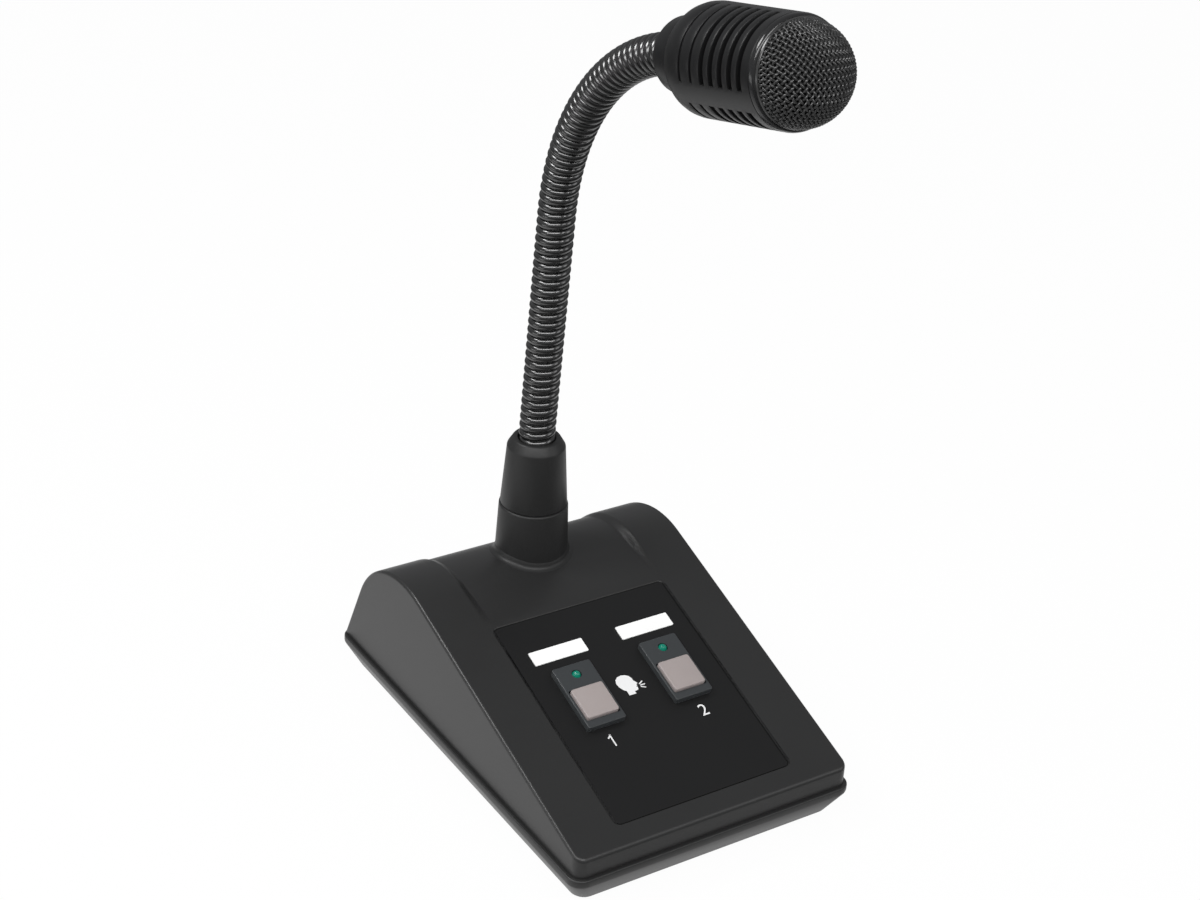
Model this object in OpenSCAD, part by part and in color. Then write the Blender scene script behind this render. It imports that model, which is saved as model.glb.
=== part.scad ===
// Desk paging microphone: a sloped two-key console with a bending neck and a slotted head.
// Millimetres, +Z up, the front looks along -Y. The origin is on the desk, under the middle of the outline.

/* [Case] */
// Width of the case across the parting lip
lip_w = 106.5; // [100:0.5:120]
// Length of the case along the parting lip, front to rear
lip_l = 157.5; // [154:0.5:170]
// Height of the lip's lower edge above the tray's underside
lip_z = 8.6; // [8:0.1:11]
// Height of the lip band
lip_h = 2.5; // [2:0.1:3.5]
// Radius of the lip's corners, seen from above
corner_r = 5; // [4.9:0.1:8]
// How far the tray's underside is set in from the lip
tray_inset = 4.7; // [3:0.1:5]
// Thickness of the moulded walls
wall = 2.4; // [2:0.1:2.8]
// How far the lip stands out past the top shell's front and sides
lip_ledge = 1.4; // [1:0.1:2]
// How far the lip stands out past the foot of the rear wall
rear_ledge = 1.4; // [1.2:0.1:4]
// Height of the panel's front edge above the tray's underside
front_z = 18; // [17:0.1:21]
// Rise of the panel, in degrees
slope = 18.4; // [17:0.1:20]
// Lean of the rear wall, in degrees from upright
rear_lean = 24.7; // [22:0.1:28]
// Radius of the hump along the two side ridges
hump_r = 33; // [31:0.5:35]
// Radius of the hump in the saddle between the ridges
saddle_r = 32; // [31:0.5:34]
// Width of the saddle
saddle_w = 66; // [60:0.5:72]
// Depth of the saddle below the panel's plane, where it comes nearest to it
saddle_drop = 2.3; // [1.8:0.1:2.6]
// Distance of the saddle's front end from the panel's front edge
saddle_front = 95; // [92:0.5:98]
// Depth of the saddle's edge at its rear end
saddle_step = 0.15; // [0.1:0.05:0.4]

/* [Feet and fasteners] */
// Height of the rubber feet below the tray
foot_h = 2; // [1.5:0.1:3]
// Radius of a rubber foot
foot_r = 6; // [5:0.1:7]
// Distance of a foot's middle from the lip's sides and ends
foot_inset = 13; // [12.5:0.1:16]
// Distance of a case screw from the lip's side
post_inset = 10.5; // [10:0.1:11]
// Distance of a case screw from the middle of the case, front and rear
post_y = 50; // [46:0.5:52]
// Radius of a case screw's shank
screw_r = 1.5; // [1.2:0.1:1.7]
// Radius of a case screw's head
screw_head_r = 3; // [2.6:0.1:3.2]
// Thickness of the weight plate
plate_t = 3; // [2:0.5:4]

/* [Panel] */
// Width of the label
label_w = 66.3; // [62:0.1:70]
// Length of the label along the slope
label_l = 82; // [78:0.5:86]
// Distance of the label from the panel's front edge
label_front = 8; // [6:0.1:10]
// Corner radius of the label
label_r = 2; // [1.5:0.1:4]
// Thickness of the label
label_t = 0.4; // [0.2:0.05:0.5]
// Depth of the label's recess in the shell
recess_d = 0.6; // [0.4:0.05:0.8]
// Distance of each switch's middle from the panel's centre line
key_x = 16.8; // [15:0.1:19]
// Distance of the keys' middle from the panel's front edge
key_s = 51.4; // [50:0.1:53]
// Width and length of a talk key
key_w = 12; // [11:0.1:12.5]
// How far a key stands above its frame
key_proud = 1.1; // [0.8:0.1:1.5]
// Travel of a key
key_travel = 1; // [0.5:0.1:1.2]
// Width of a switch frame
frame_w = 14.3; // [14:0.1:16]
// Length of a switch frame
frame_l = 25; // [24:0.1:27]
// Distance from a key's middle to its frame's middle
frame_offset = 3.5; // [3:0.1:4]
// How far a switch frame stands above the label
frame_h = 2.2; // [1.5:0.1:2.6]
// Radius of a lamp
lamp_r = 1.5; // [1.2:0.1:1.6]
// Distance of a lamp's middle from its frame's upper end
lamp_inset = 4.2; // [3.8:0.1:4.6]
// Width of a name strip
strip_w = 20.3; // [18:0.1:22]
// Length of a name strip along the slope
strip_l = 5.5; // [4.5:0.1:6]
// Distance of the name strips' middle from the panel's front edge
strip_s = 74.5; // [73:0.1:77]

/* [Control board] */
// Distance of the board's sides from the case screws' posts
board_side_gap = 1.9; // [1.5:0.1:3]
// Length of the board
board_l = 68; // [66:0.5:70]
// Distance of the board's front edge from the panel's front edge
board_s = 24; // [22:0.5:26]
// Depth of the board's upper face below the panel
board_d = 10.4; // [10.2:0.1:11]
// Thickness of the board
board_t = 1.6; // [1.2:0.1:2]

/* [Line socket] */
// Height of the socket's middle above the tray's underside
socket_z = 23; // [21:0.5:25]
// Radius of the socket's mouth
socket_r = 6.7; // [6.5:0.1:7]
// Width of the socket's flange
socket_flange_w = 28; // [27.5:0.5:30]
// Distance between the socket's two screws
socket_screw_gap = 22.3; // [22:0.1:23]

/* [Boot] */
// Distance of the neck's foot behind the middle of the case
boot_y = 39.7; // [38:0.1:41]
// Radius of the boot collar at its foot
boot_r = 12.7; // [12.1:0.1:13]
// Radius of the boot at the joint of collar and sleeve
boot_mid_r = 11.8; // [11:0.1:12]
// Radius of the sleeve below its sloped top edge
boot_top_r = 9.9; // [9.4:0.1:10.2]
// Height of the joint of collar and sleeve above the tray's underside
boot_mid_z = 70.2; // [69:0.1:71]
// Height of the sleeve's top above the tray's underside
boot_top_z = 95; // [94:0.5:98]
// Outer radius of the threaded neck bush
bush_r = 7.8; // [7.5:0.1:8]

/* [Neck] */
// Outer diameter of the neck over its ribs
neck_d = 12.4; // [11.6:0.1:12.6]
// Depth of the groove between two ribs
rib_d = 1; // [0.6:0.1:1.2]
// Distance from rib to rib
rib_pitch = 2.99; // [2.9:0.01:3.05]
// Ribs on the first section, which starts inside the boot
first_ribs = 14; // [13:1:15]
// Ribs on each of the other sections
link_ribs = 10; // [10:1:11]
// Radius of the bore for the lead
neck_bore_r = 3.2; // [2.6:0.1:3.4]
// Radius of the microphone lead
lead_r = 2; // [1.5:0.1:2.2]
// Height of the neck's foot above the tray's underside
neck_z = 70; // [69:0.5:71]
// Upright length of the neck from its foot
neck_upright = 22; // [20:0.5:23]
// Lean of the neck above the boot, in degrees
neck_lean = 3.5; // [2:0.5:6]
// Radius of the small bend where the lean starts
lean_r = 150; // [120:5:170]
// How far the neck reaches into the head collar
neck_insert = 12.6; // [11:0.1:14]
// Radius of the large forward bend
bend_r = 78.8; // [76:0.1:80]
// Angle of the large forward bend, in degrees
bend_turn = 74.1; // [68:0.1:76]

/* [Head] */
// Radius of the head collar at its rear
collar_r = 11; // [10:0.1:11.3]
// Radius of the head collar where it meets the body
collar_front_r = 11.2; // [10.6:0.1:11.5]
// Length of the head collar outside the body
collar_l = 8.2; // [7:0.1:9]
// Radius of the body's rear edge
body_rear_r = 11.7; // [11.6:0.1:12.4]
// Largest radius of the body, at the end of its shoulder
body_r = 16.1; // [15.8:0.1:17]
// Radius of the body at its front
body_front_r = 15.7; // [15.6:0.1:16.1]
// Length of the body's shoulder
shoulder_l = 8.7; // [8:0.1:10]
// Distance of the body's front from the collar's rear
body_front = 51.7; // [50.5:0.1:55]
// Inner radius of the body
body_bore_r = 14; // [13.8:0.1:14.3]
// Number of slot rows
slot_rows = 5; // [3:1:5]
// Distance between slot rows
slot_pitch = 4.2; // [4:0.1:4.5]
// Width of a slot
slot_w = 2; // [1.4:0.1:2.2]
// Distance of the last slot row from the body's front
slot_front = 4.5; // [4.2:0.1:5]
// Angle of each of the three ribs between the slots, in degrees
slot_rib = 24; // [16:1:28]
// Turn of the first rib about the head's axis, in degrees
slot_turn = 84.5; // [70:0.5:95]
// Number of shallow grooves behind the slots
groove_rows = 2; // [1:1:2]
// Distance between the grooves, and from the first groove to the slots
groove_pitch = 5; // [4:0.1:5.2]
// Depth of a shallow groove
groove_d = 0.7; // [0.4:0.1:0.9]
// Length of the grille ring
ring_l = 1.8; // [1.4:0.1:2.2]
// Radius of the grille's dome at its foot
dome_r = 14.8; // [14.6:0.1:15]
// Bulge of the grille's dome
dome_h = 14.4; // [11:0.1:14.5]
// Thickness of the grille
dome_t = 0.8; // [0.6:0.1:1]
// Radius of the capsule
capsule_r = 11; // [10:0.1:11.5]
// Length of the capsule
capsule_l = 20; // [17:0.5:21]

/* [Hidden] */
$fn = 64;

// Clearances: around parts that slide, around parts that only pass, and a film between seated faces
slide_gap = 0.3;
pass_gap = 0.2;
seat_gap = 0.05;
// A cut runs this far past the face that it opens
past = 1;
// The hump's circle is this much larger, so that it crosses the panel and the rear wall
hump_lap = 0.02;

// Case outline in the Y-Z plane
part_z = lip_z + lip_h;
front_y = -lip_l / 2 + lip_ledge;
rear_y = lip_l / 2 - rear_ledge;
shell_half_w = lip_w / 2 - lip_ledge;
panel_in = [sin(slope), -cos(slope)];
panel_along = [cos(slope), sin(slope)];
rear_in = [-cos(rear_lean), -sin(rear_lean)];
front_corner = [front_y, front_z];
rear_foot = [rear_y, part_z];

// Middle of the circle of radius r that touches the rear line, and the panel line lowered by drop
function hump_centre(r, drop = 0) =
    let (
        a = r + drop + front_corner * panel_in,
        b = r + rear_foot * rear_in,
        d = panel_in[0] * rear_in[1] - panel_in[1] * rear_in[0]
    )
    [(a * rear_in[1] - panel_in[1] * b) / d, (panel_in[0] * b - rear_in[0] * a) / d];

// Height of the hump's top, the middle of the saddle's circle, and the saddle's height behind its front slope
hump_top = hump_centre(hump_r)[1] + hump_r;
saddle_c = hump_centre(saddle_r, saddle_drop) - [0, saddle_step];
function saddle_top(y) = saddle_c[1] + sqrt(saddle_r * saddle_r - (y - saddle_c[0]) * (y - saddle_c[0]));

// The saddle's front slope runs from the panel into the circle, this far past the place nearest to the panel
saddle_lead = 8;
saddle_lap = 0.1;
saddle_start = front_corner + saddle_front * panel_along;
saddle_join = saddle_c + (saddle_r - saddle_lap) * [-sin(slope - saddle_lead), cos(slope - saddle_lead)];
saddle_ahead = saddle_start + 0.3 * (saddle_start - saddle_join);

// Panel heights, from the shell's outer slope
label_top = label_t - recess_d;
frame_top = label_top + frame_h;
skirt_bottom = -wall - 0.7;
key_top = frame_top + key_proud;
key_flange_top = skirt_bottom - slide_gap;
key_flange_t = 1;
key_flange_over = 0.5;
stem_r = 1.7;
stem_l = 3.6;
stem_bottom = key_flange_top - key_flange_t - stem_l;
switch_h = 4.1;
switch_w = 12;
switch_floor = 0.4;
frame_s = key_s + frame_offset;
skirt_w = frame_w - 2 * 0.5;
skirt_l = frame_l - 2 * 0.5;
key_hole = key_w + 2 * slide_gap;
lamp_s = frame_s + frame_l / 2 - lamp_inset;
lamp_flange_r = lamp_r + 0.4;
lamp_flange_top = skirt_bottom - 0.5;
lamp_flange_t = 1;
spacer_r = lamp_r + 1;
leg_r = 0.25;
leg_x = 1.2;
leg_past = 1;

// Case fixings, seen from above
post_x = lip_w / 2 - post_inset;
post_r = 3.6;
boss_r = 5;
boss_top = 6;
boss_web = 2.6;
screw_l = 12;
foot_x = lip_w / 2 - foot_inset;
foot_y = lip_l / 2 - foot_inset;
plate_half_w = post_x - boss_r - 2;
plate_half_l = 45;

// Board fixings, on the panel
board_w = 2 * (post_x - post_r - board_side_gap);
board_screw_inset = 4;
board_post_r = 3;
board_screw_r = 1.1;
board_screw_head_r = 2.6;
board_screw_grip = 4;
board_screw_x = board_w / 2 - board_screw_inset;
board_screw_s = [board_s + board_screw_inset, board_s + board_l - board_screw_inset];
header_w = 10;
header_l = 5.8;
header_h = 8;
header_x = 14;
header_s = board_s + board_l - 10;

// Rear socket, on the rear wall
socket_y = rear_y - (socket_z - part_z) * tan(rear_lean);
socket_wall = 0.9;
socket_depth = 8;
socket_floor = 2;
socket_flange_l = 17;
socket_flange_t = 1.5;
socket_screw_r = 1.4;
insert_r = 4.6;
contact_r = 0.7;
contact_ring_r = 3;
contact_tail = 5;

// Boot and neck fixings
washer_t = 1.2;
washer_r = 10;
pad_z = saddle_top(boot_y + washer_r) - wall - 0.5;
pad_r = 12;
nut_t = 5;
nut_r = 11.5;
bush_bottom = pad_z - washer_t - nut_t - 2.5;
bush_flange_z = 60;
bush_flange_t = 4;
bush_flange_r = 9.4;
bush_top = neck_z + 8;
bush_lead_r = lead_r + 2;
groove_chamfer = 0.4;
sleeve_shoulder_z = boot_top_z - 3;
sleeve_mouth_r = boot_top_r - 1.8;

// Neck path in the Y-Z plane: upright, small bend, straight lean, large bend, straight into the head
neck_r = neck_d / 2;
neck_hole_r = neck_r + slide_gap;
links = 7;
lean_l = lean_r * neck_lean * PI / 180;
bend_l = bend_r * bend_turn * PI / 180;
neck_l = link_start(links);
mark_lean = neck_upright + lean_l;
neck_straight = neck_l - mark_lean - bend_l - neck_insert;
mark_bend = mark_lean + neck_straight;
mark_collar = mark_bend + bend_l;
head_angle = neck_lean + bend_turn;
function step_along(p, a, l) = p + l * [-sin(a), cos(a)];
function turn_about(p, a, r, b) = p + r * [cos(b) - cos(a), sin(b) - sin(a)];
neck_p0 = [boot_y, neck_z];
neck_p1 = step_along(neck_p0, 0, neck_upright);
neck_p2 = turn_about(neck_p1, 0, lean_r, neck_lean);
neck_p3 = step_along(neck_p2, neck_lean, neck_straight);
neck_p4 = turn_about(neck_p3, neck_lean, bend_r, head_angle);

// Lean of the neck, and its place, at the distance s along it
function neck_angle(s) =
    s < neck_upright ? 0
    : s < mark_lean ? (s - neck_upright) / lean_r * 180 / PI
    : s < mark_bend ? neck_lean
    : s < mark_collar ? neck_lean + (s - mark_bend) / bend_r * 180 / PI
    : head_angle;
function neck_point(s) =
    s < neck_upright ? step_along(neck_p0, 0, s)
    : s < mark_lean ? turn_about(neck_p1, 0, lean_r, neck_angle(s))
    : s < mark_bend ? step_along(neck_p2, neck_lean, s - mark_lean)
    : s < mark_collar ? turn_about(neck_p3, neck_lean, bend_r, neck_angle(s))
    : step_along(neck_p4, head_angle, s - mark_collar);

// Where each section starts and ends along the neck
function rib_count(link) = link == 0 ? first_ribs : link_ribs;
function link_start(link) = link == 0 ? 0 : (first_ribs + (link - 1) * link_ribs) * rib_pitch;

// Lead: it ends in the capsule's rear, and its tail runs to the board by hand-set points
capsule_setback = 6;
capsule_rear = body_front - capsule_setback - capsule_l;
lead_end = mark_collar + capsule_rear;
lead_ring_step = 8;
tail_points = [
    [0, boot_y, neck_z], [0, boot_y, bush_flange_z - 6], [0, boot_y, bush_bottom],
    [-3, 36, 31], [-8, 26, 28], [-12, 16, 28.5], [-14, 7, 30]
];
wire_points = [
    [0, socket_y, socket_z] + 13 * [0, rear_in[0], rear_in[1]],
    [0, socket_y, socket_z] + 18 * [0, rear_in[0], rear_in[1]],
    [5, 44, 16], [10, 30, 20], [13.5, 18, 26], [14, 7, 30]
];
wire_r = 2.5;

// Head outline
slot_sectors = 3;
slot_last = body_front - slot_front - (slot_rows - 1) * slot_pitch;
dome_z = body_front + ring_l;
shoulder_rise = body_r - body_rear_r;
shoulder_r = (shoulder_l * shoulder_l + shoulder_rise * shoulder_rise) / (2 * shoulder_rise);
shoulder_end = collar_l + shoulder_l;
collar_spigot_r = 8.4;
collar_web = 2;
collar_spigot_l = neck_insert + seat_gap + collar_web - collar_l;
rim_chamfer = 0.5;
collar_chamfer = 0.8;
bore_taper = 4;
liner_t = 0.7;
liner_setback = 1;
foam_gap = 1;
lining_gap = 0.5;
holder_back = 6;
holder_l = 6;
stem_part = 0.7;
capsule_stem_l = 5;
port_r = 1;
port_d = 1.5;

// Dome outline: one sphere, cut at the dome's foot
dome_front_r = (dome_r * dome_r + dome_h * dome_h) / (2 * dome_h);
dome_drop = dome_front_r - dome_h;

// The whole outline reaches from the dome or the lip's front to the lip's rear
dome_reach = (dome_z - dome_drop) * sin(head_angle) + dome_front_r;
front_reach = min(neck_p4[0] - dome_reach, -lip_l / 2);
base_y = -(front_reach + lip_l / 2) / 2;

// Where the neck bends between its sections, and the way that the keys travel
joint_marks = [for (link = [1 : links - 1]) link_start(link)];
echo(neck_joints = [for (s = joint_marks) [neck_point(s)[0] + base_y, neck_point(s)[1] + foot_h, neck_angle(s)]]);
echo(key_axis = [0, sin(slope), -cos(slope)], base_y = base_y, neck_length = neck_l);

// Frames of reference
module on_desk() { translate([0, base_y, foot_h]) children(); }
module on_panel(x = 0, s = 0, h = 0) {
    on_desk() translate([0, front_y, front_z]) rotate([slope, 0, 0]) translate([x, s, h]) children();
}
module on_rear() {
    on_desk() translate([0, socket_y, socket_z]) rotate([rear_lean - 90, 0, 0]) children();
}
module on_head() {
    on_desk() translate([0, neck_p4[0], neck_p4[1]]) rotate([head_angle, 0, 0]) children();
}

// Shared shapes
module rounded_rect(w, l, r) {
    square([w - 2 * r, l], center = true);
    square([w, l - 2 * r], center = true);
    for (x = [-1, 1], y = [-1, 1]) translate([x * (w / 2 - r), y * (l / 2 - r)]) circle(r);
}
module slab(w, l, t, r) { linear_extrude(t) rounded_rect(w, l, r); }
module block(w, l, z0, z1) { translate([-w / 2, -l / 2, z0]) cube([w, l, z1 - z0]); }
module rod(r, z0, z1) { translate([0, 0, z0]) cylinder(h = z1 - z0, r = r); }
module cone(r0, r1, z0, z1) { translate([0, 0, z0]) cylinder(h = z1 - z0, r1 = r0, r2 = r1); }
module along_x(x0, x1) { translate([x0, 0, 0]) rotate([90, 0, 90]) linear_extrude(x1 - x0) children(); }
module along_y(y0, y1) { translate([0, y1, 0]) rotate([90, 0, 0]) linear_extrude(y1 - y0) children(); }
module both_sides() { children(); mirror([1, 0, 0]) children(); }
module at_corners(x, y) { for (i = [-1, 1], j = [-1, 1]) translate([i * x, j * y, 0]) children(); }
module at_board_screws() { for (x = [-1, 1], s = board_screw_s) translate([x * board_screw_x, s, 0]) children(); }

// Side outline of the case with a hump of radius r, set in from the outer faces, cut off at the height
// z0 and drawn out over the front
module case_profile(r, inset, z0, over = 0) {
    c = hump_centre(r);
    t1 = c - panel_in * (r - inset);
    t2 = c - rear_in * (r - inset);
    front = front_y + inset - over;
    top = t1[1] - (t1[0] - front) * tan(slope);
    rear = t2[0] + (t2[1] - z0) * tan(rear_lean);
    polygon([[front, z0], [front, top], t1, c, t2, [rear, z0]]);
    intersection() {
        translate(c) circle(r - inset + hump_lap);
        translate([c[0] - 2 * r, c[1]]) square([4 * r, 2 * r]);
    }
}

// Side outline of what lies below the saddle's floor, grown by a distance
module saddle_floor(grow) {
    ahead = saddle_ahead - grow * panel_in;
    translate(saddle_c) circle(saddle_r + grow);
    polygon([ahead, saddle_join - grow * panel_in, saddle_c, [ahead[0], saddle_c[1]]]);
}

// Side outline of the air above the saddle's floor, with the floor set in
module saddle_air(inset) {
    ahead = saddle_ahead + inset * panel_in;
    difference() {
        polygon([
            saddle_c, ahead, ahead - 2 * saddle_r * panel_in, saddle_c - 2 * saddle_r * (panel_in + rear_in),
            saddle_c - 2 * saddle_r * rear_in
        ]);
        saddle_floor(-inset);
    }
}

// Side outline of the case under the saddle, set in from the outer faces
module saddle_profile(inset) {
    difference() {
        case_profile(hump_r, inset, 0);
        saddle_air(inset);
    }
}

// Outer block of the top shell: the ridged hump, hollowed to a saddle between the ridges
module shell_block() {
    difference() {
        intersection() {
            translate([0, (front_y + rear_y + past) / 2, part_z])
                slab(2 * shell_half_w, rear_y + past - front_y, 100, corner_r - lip_ledge);
            along_x(-lip_w, lip_w) case_profile(hump_r, 0, 0, past);
        }
        along_x(-saddle_w / 2, saddle_w / 2) saddle_air(0);
    }
}

// Tray block with tapered sides, set in from its outer faces and starting at z0
module tray_block(inset, z0) {
    taper = tray_inset * (1 - z0 / lip_z);
    top_w = lip_w / 2 - inset;
    top_l = lip_l / 2 - inset;
    r1 = max(corner_r - inset, 0.4);
    r0 = max(r1 - taper, 0.2);
    core_w = top_w - r1;
    core_l = top_l - r1;
    along_y(-core_l, core_l)
        polygon([[-core_w - r0, z0], [core_w + r0, z0], [top_w, lip_z], [-top_w, lip_z]]);
    along_x(-core_w, core_w)
        polygon([[-core_l - r0, z0], [core_l + r0, z0], [top_l, lip_z], [-top_l, lip_z]]);
    at_corners(core_w, core_l) cone(r0, r1, z0, lip_z);
}

// Base: tray, weight, feet and screws
module base_tray() {
    rim = wall + lip_ledge;
    color("#3a3a3c") on_desk() difference() {
        union() {
            difference() {
                union() {
                    tray_block(0, 0);
                    translate([0, 0, lip_z]) slab(lip_w, lip_l, lip_h, corner_r);
                }
                tray_block(rim, wall);
                translate([0, 0, lip_z - seat_gap])
                    slab(lip_w - 2 * rim, lip_l - 2 * rim, lip_h + past, max(corner_r - rim, 0.4));
            }
            at_corners(post_x, post_y) rod(boss_r, 0, boss_top);
        }
        at_corners(post_x, post_y) {
            rod(screw_r + pass_gap, -past, boss_top + past);
            rod(screw_head_r + pass_gap, -past, boss_top - boss_web);
        }
    }
}
module weight_plate() {
    color("#8d9094") on_desk() translate([0, 0, wall]) slab(2 * plate_half_w, 2 * plate_half_l, plate_t, 3);
}
module rubber_feet() {
    color("#1d1d1e") on_desk() at_corners(foot_x, foot_y) cone(foot_r - foot_h / 3, foot_r, -foot_h, 0);
}
module case_screws() {
    head_z = boss_top - boss_web;
    color("#b9bcc0") on_desk() at_corners(post_x, post_y) difference() {
        union() {
            rod(screw_head_r, head_z - 2, head_z);
            rod(screw_r, head_z - past, head_z + screw_l);
        }
        for (a = [0, 90]) rotate(a) block(3.2, 0.7, head_z - 2 - past, head_z - 1);
    }
}

// Top shell, with its posts, the neck's pad and every opening
module shell_openings() {
    on_panel() {
        translate([0, label_front + label_l / 2, -recess_d])
            slab(label_w + 2 * pass_gap, label_l + 2 * pass_gap, recess_d + past, label_r + pass_gap);
        for (x = [-key_x, key_x]) translate([x, frame_s, 0])
            block(skirt_w + 2 * slide_gap, skirt_l + 2 * slide_gap, -wall - past, past);
        at_board_screws() rod(board_screw_r + seat_gap, -board_d - past, -wall - 1);
    }
    on_desk() {
        at_corners(post_x, post_y) rod(screw_r + seat_gap, boss_top - past, boss_top + screw_l + past);
        translate([0, boot_y, 0]) {
            rod(bush_r + pass_gap, pad_z - past, hump_top + past);
            rod(washer_r + pass_gap, pad_z - 2 * washer_t, pad_z);
        }
    }
    on_rear() {
        rod(socket_r + socket_wall + pass_gap, -3 * wall, past);
        for (x = [-1, 1]) translate([x * socket_screw_gap / 2, 0, 0])
            rod(socket_screw_r + seat_gap, -3 * wall, past);
    }
}
module top_shell() {
    inner_w = 2 * (shell_half_w - wall);
    color("#333335") difference() {
        union() {
            on_desk() {
                difference() {
                    shell_block();
                    along_x(-inner_w / 2, inner_w / 2) saddle_profile(wall);
                }
                intersection() {
                    along_x(-shell_half_w + wall / 2, shell_half_w - wall / 2) saddle_profile(wall / 2);
                    union() {
                        at_corners(post_x, post_y) rod(post_r, boss_top, hump_top);
                        translate([0, boot_y, 0]) rod(pad_r, pad_z - washer_t / 2, hump_top);
                    }
                }
            }
            on_panel() at_board_screws() rod(board_post_r, -board_d, -wall / 2 - recess_d);
        }
        shell_openings();
    }
}

// Panel: label, name strips, switch frames, keys and lamps
module panel_label() {
    color("#242426") on_panel(h = label_top - label_t) difference() {
        translate([0, label_front + label_l / 2, 0]) slab(label_w, label_l, label_t, label_r);
        for (x = [-key_x, key_x]) translate([x, frame_s, 0])
            block(skirt_w + 2 * slide_gap, skirt_l + 2 * slide_gap, -past, label_t + past);
    }
}
module name_strip(x) {
    color("#f4f4f2") on_panel(x, strip_s, label_top) slab(strip_w, strip_l, 0.25, 0.4);
}
module switch_frame(x) {
    color("#4a4c50") on_panel(x, frame_s, 0) difference() {
        union() {
            translate([0, 0, label_top]) slab(frame_w, frame_l, frame_h, 0.6);
            block(skirt_w, skirt_l, skirt_bottom, label_top + past);
        }
        translate([0, -frame_offset, 0]) block(key_hole, key_hole, skirt_bottom - past, frame_top + past);
        translate([0, lamp_s - frame_s, 0]) rod(lamp_r + pass_gap, skirt_bottom - past, frame_top + past);
    }
}
module talk_key(x) {
    flange_w = key_hole + 2 * key_flange_over;
    color("#a89d98") on_panel(x, key_s, 0) {
        translate([0, 0, key_flange_top - 0.5]) slab(key_w, key_w, key_top - key_flange_top + 0.5, 0.8);
        block(flange_w, flange_w, key_flange_top - key_flange_t, key_flange_top);
        rod(stem_r, stem_bottom, key_flange_top);
    }
}
module lamp(x) {
    tip = frame_top + 0.9;
    color("#127a5c") on_panel(x, lamp_s, 0) {
        rod(lamp_r, lamp_flange_top - 0.5, tip - lamp_r);
        translate([0, 0, tip - lamp_r]) sphere(lamp_r);
        rod(lamp_flange_r, lamp_flange_top - lamp_flange_t, lamp_flange_top);
        for (i = [-1, 1]) translate([i * leg_x, 0, 0])
            rod(leg_r, -board_d - board_t - leg_past, lamp_flange_top - lamp_flange_t / 2);
    }
}
module lamp_spacers() {
    color("#e6e2d8") for (x = [-key_x, key_x]) on_panel(x, lamp_s, 0) difference() {
        rod(spacer_r, -board_d, lamp_flange_top - lamp_flange_t);
        for (i = [-1, 1]) translate([i * leg_x, 0, 0]) rod(leg_r + seat_gap, -board_d - past, 0);
    }
}

// Control board and what is soldered or screwed to it
module key_switch(x) {
    color("#2b2b2e") on_panel(x, key_s, -board_d) difference() {
        slab(switch_w, switch_w, switch_h, 0.6);
        rod(stem_r + slide_gap, switch_floor, switch_h + past);
    }
}
module control_board() {
    color("#1f6a43") on_panel(0, 0, -board_d - board_t) difference() {
        translate([0, board_s + board_l / 2, 0]) slab(board_w, board_l, board_t, 2);
        at_board_screws() rod(board_screw_r + pass_gap, -past, board_t + past);
        for (x = [-key_x, key_x], i = [-1, 1]) translate([x + i * leg_x, lamp_s, 0])
            rod(leg_r + seat_gap, -past, board_t + past);
    }
}
module board_screws() {
    under = -board_d - board_t;
    color("#b9bcc0") on_panel() at_board_screws() difference() {
        union() {
            rod(board_screw_head_r, under - 1.8, under);
            rod(board_screw_r, under - past, -board_d + board_screw_grip);
        }
        for (a = [0, 90]) rotate(a) block(2.8, 0.6, under - 1.8 - past, under - 0.9);
    }
}
module preamp_chip() {
    color("#17171a") on_panel(0, key_s, -board_d - board_t) block(10, 8, -2.6, 0);
}
module capacitors() {
    color("#31415f") for (x = [-22, -14, 22]) on_panel(x, header_s - 12, -board_d - board_t) rod(2.6, -8, 0);
}
module board_headers() {
    color("#e9e5da") for (x = [-header_x, header_x]) on_panel(x, header_s, -board_d - board_t)
        block(header_w, header_l, -header_h, 0);
}

// Rear line socket
module socket_shell() {
    depth = socket_depth + socket_floor;
    color("#9da0a4") on_rear() difference() {
        union() {
            slab(socket_flange_w, socket_flange_l, socket_flange_t, 3);
            rod(socket_r + socket_wall, -depth, past);
        }
        rod(socket_r, -socket_depth, socket_flange_t + past);
        rod(contact_ring_r + contact_r + 0.4, -depth - past, 0);
        for (x = [-1, 1]) translate([x * socket_screw_gap / 2, 0, 0])
            rod(socket_screw_r + seat_gap, -past, socket_flange_t + past);
    }
}
module at_contacts() { for (a = [0 : 45 : 180]) rotate(a) translate([contact_ring_r, 0, 0]) children(); }
module socket_insert() {
    color("#19191b") on_rear() difference() {
        rod(insert_r, -socket_depth, -0.5);
        at_contacts() rod(contact_r + seat_gap, -socket_depth - past, past);
    }
}
module socket_contacts() {
    color("#c9b27a") on_rear() at_contacts()
        rod(contact_r, -socket_depth - socket_floor - contact_tail, -3);
}
module socket_screws() {
    color("#b9bcc0") on_rear() for (x = [-1, 1]) translate([x * socket_screw_gap / 2, 0, socket_flange_t])
        difference() {
            union() {
                rod(2.7, 0, 1.6);
                rod(socket_screw_r, -9, past);
            }
            for (a = [0, 90]) rotate(a) block(3, 0.6, 0.8, 1.6 + past);
        }
}

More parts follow.
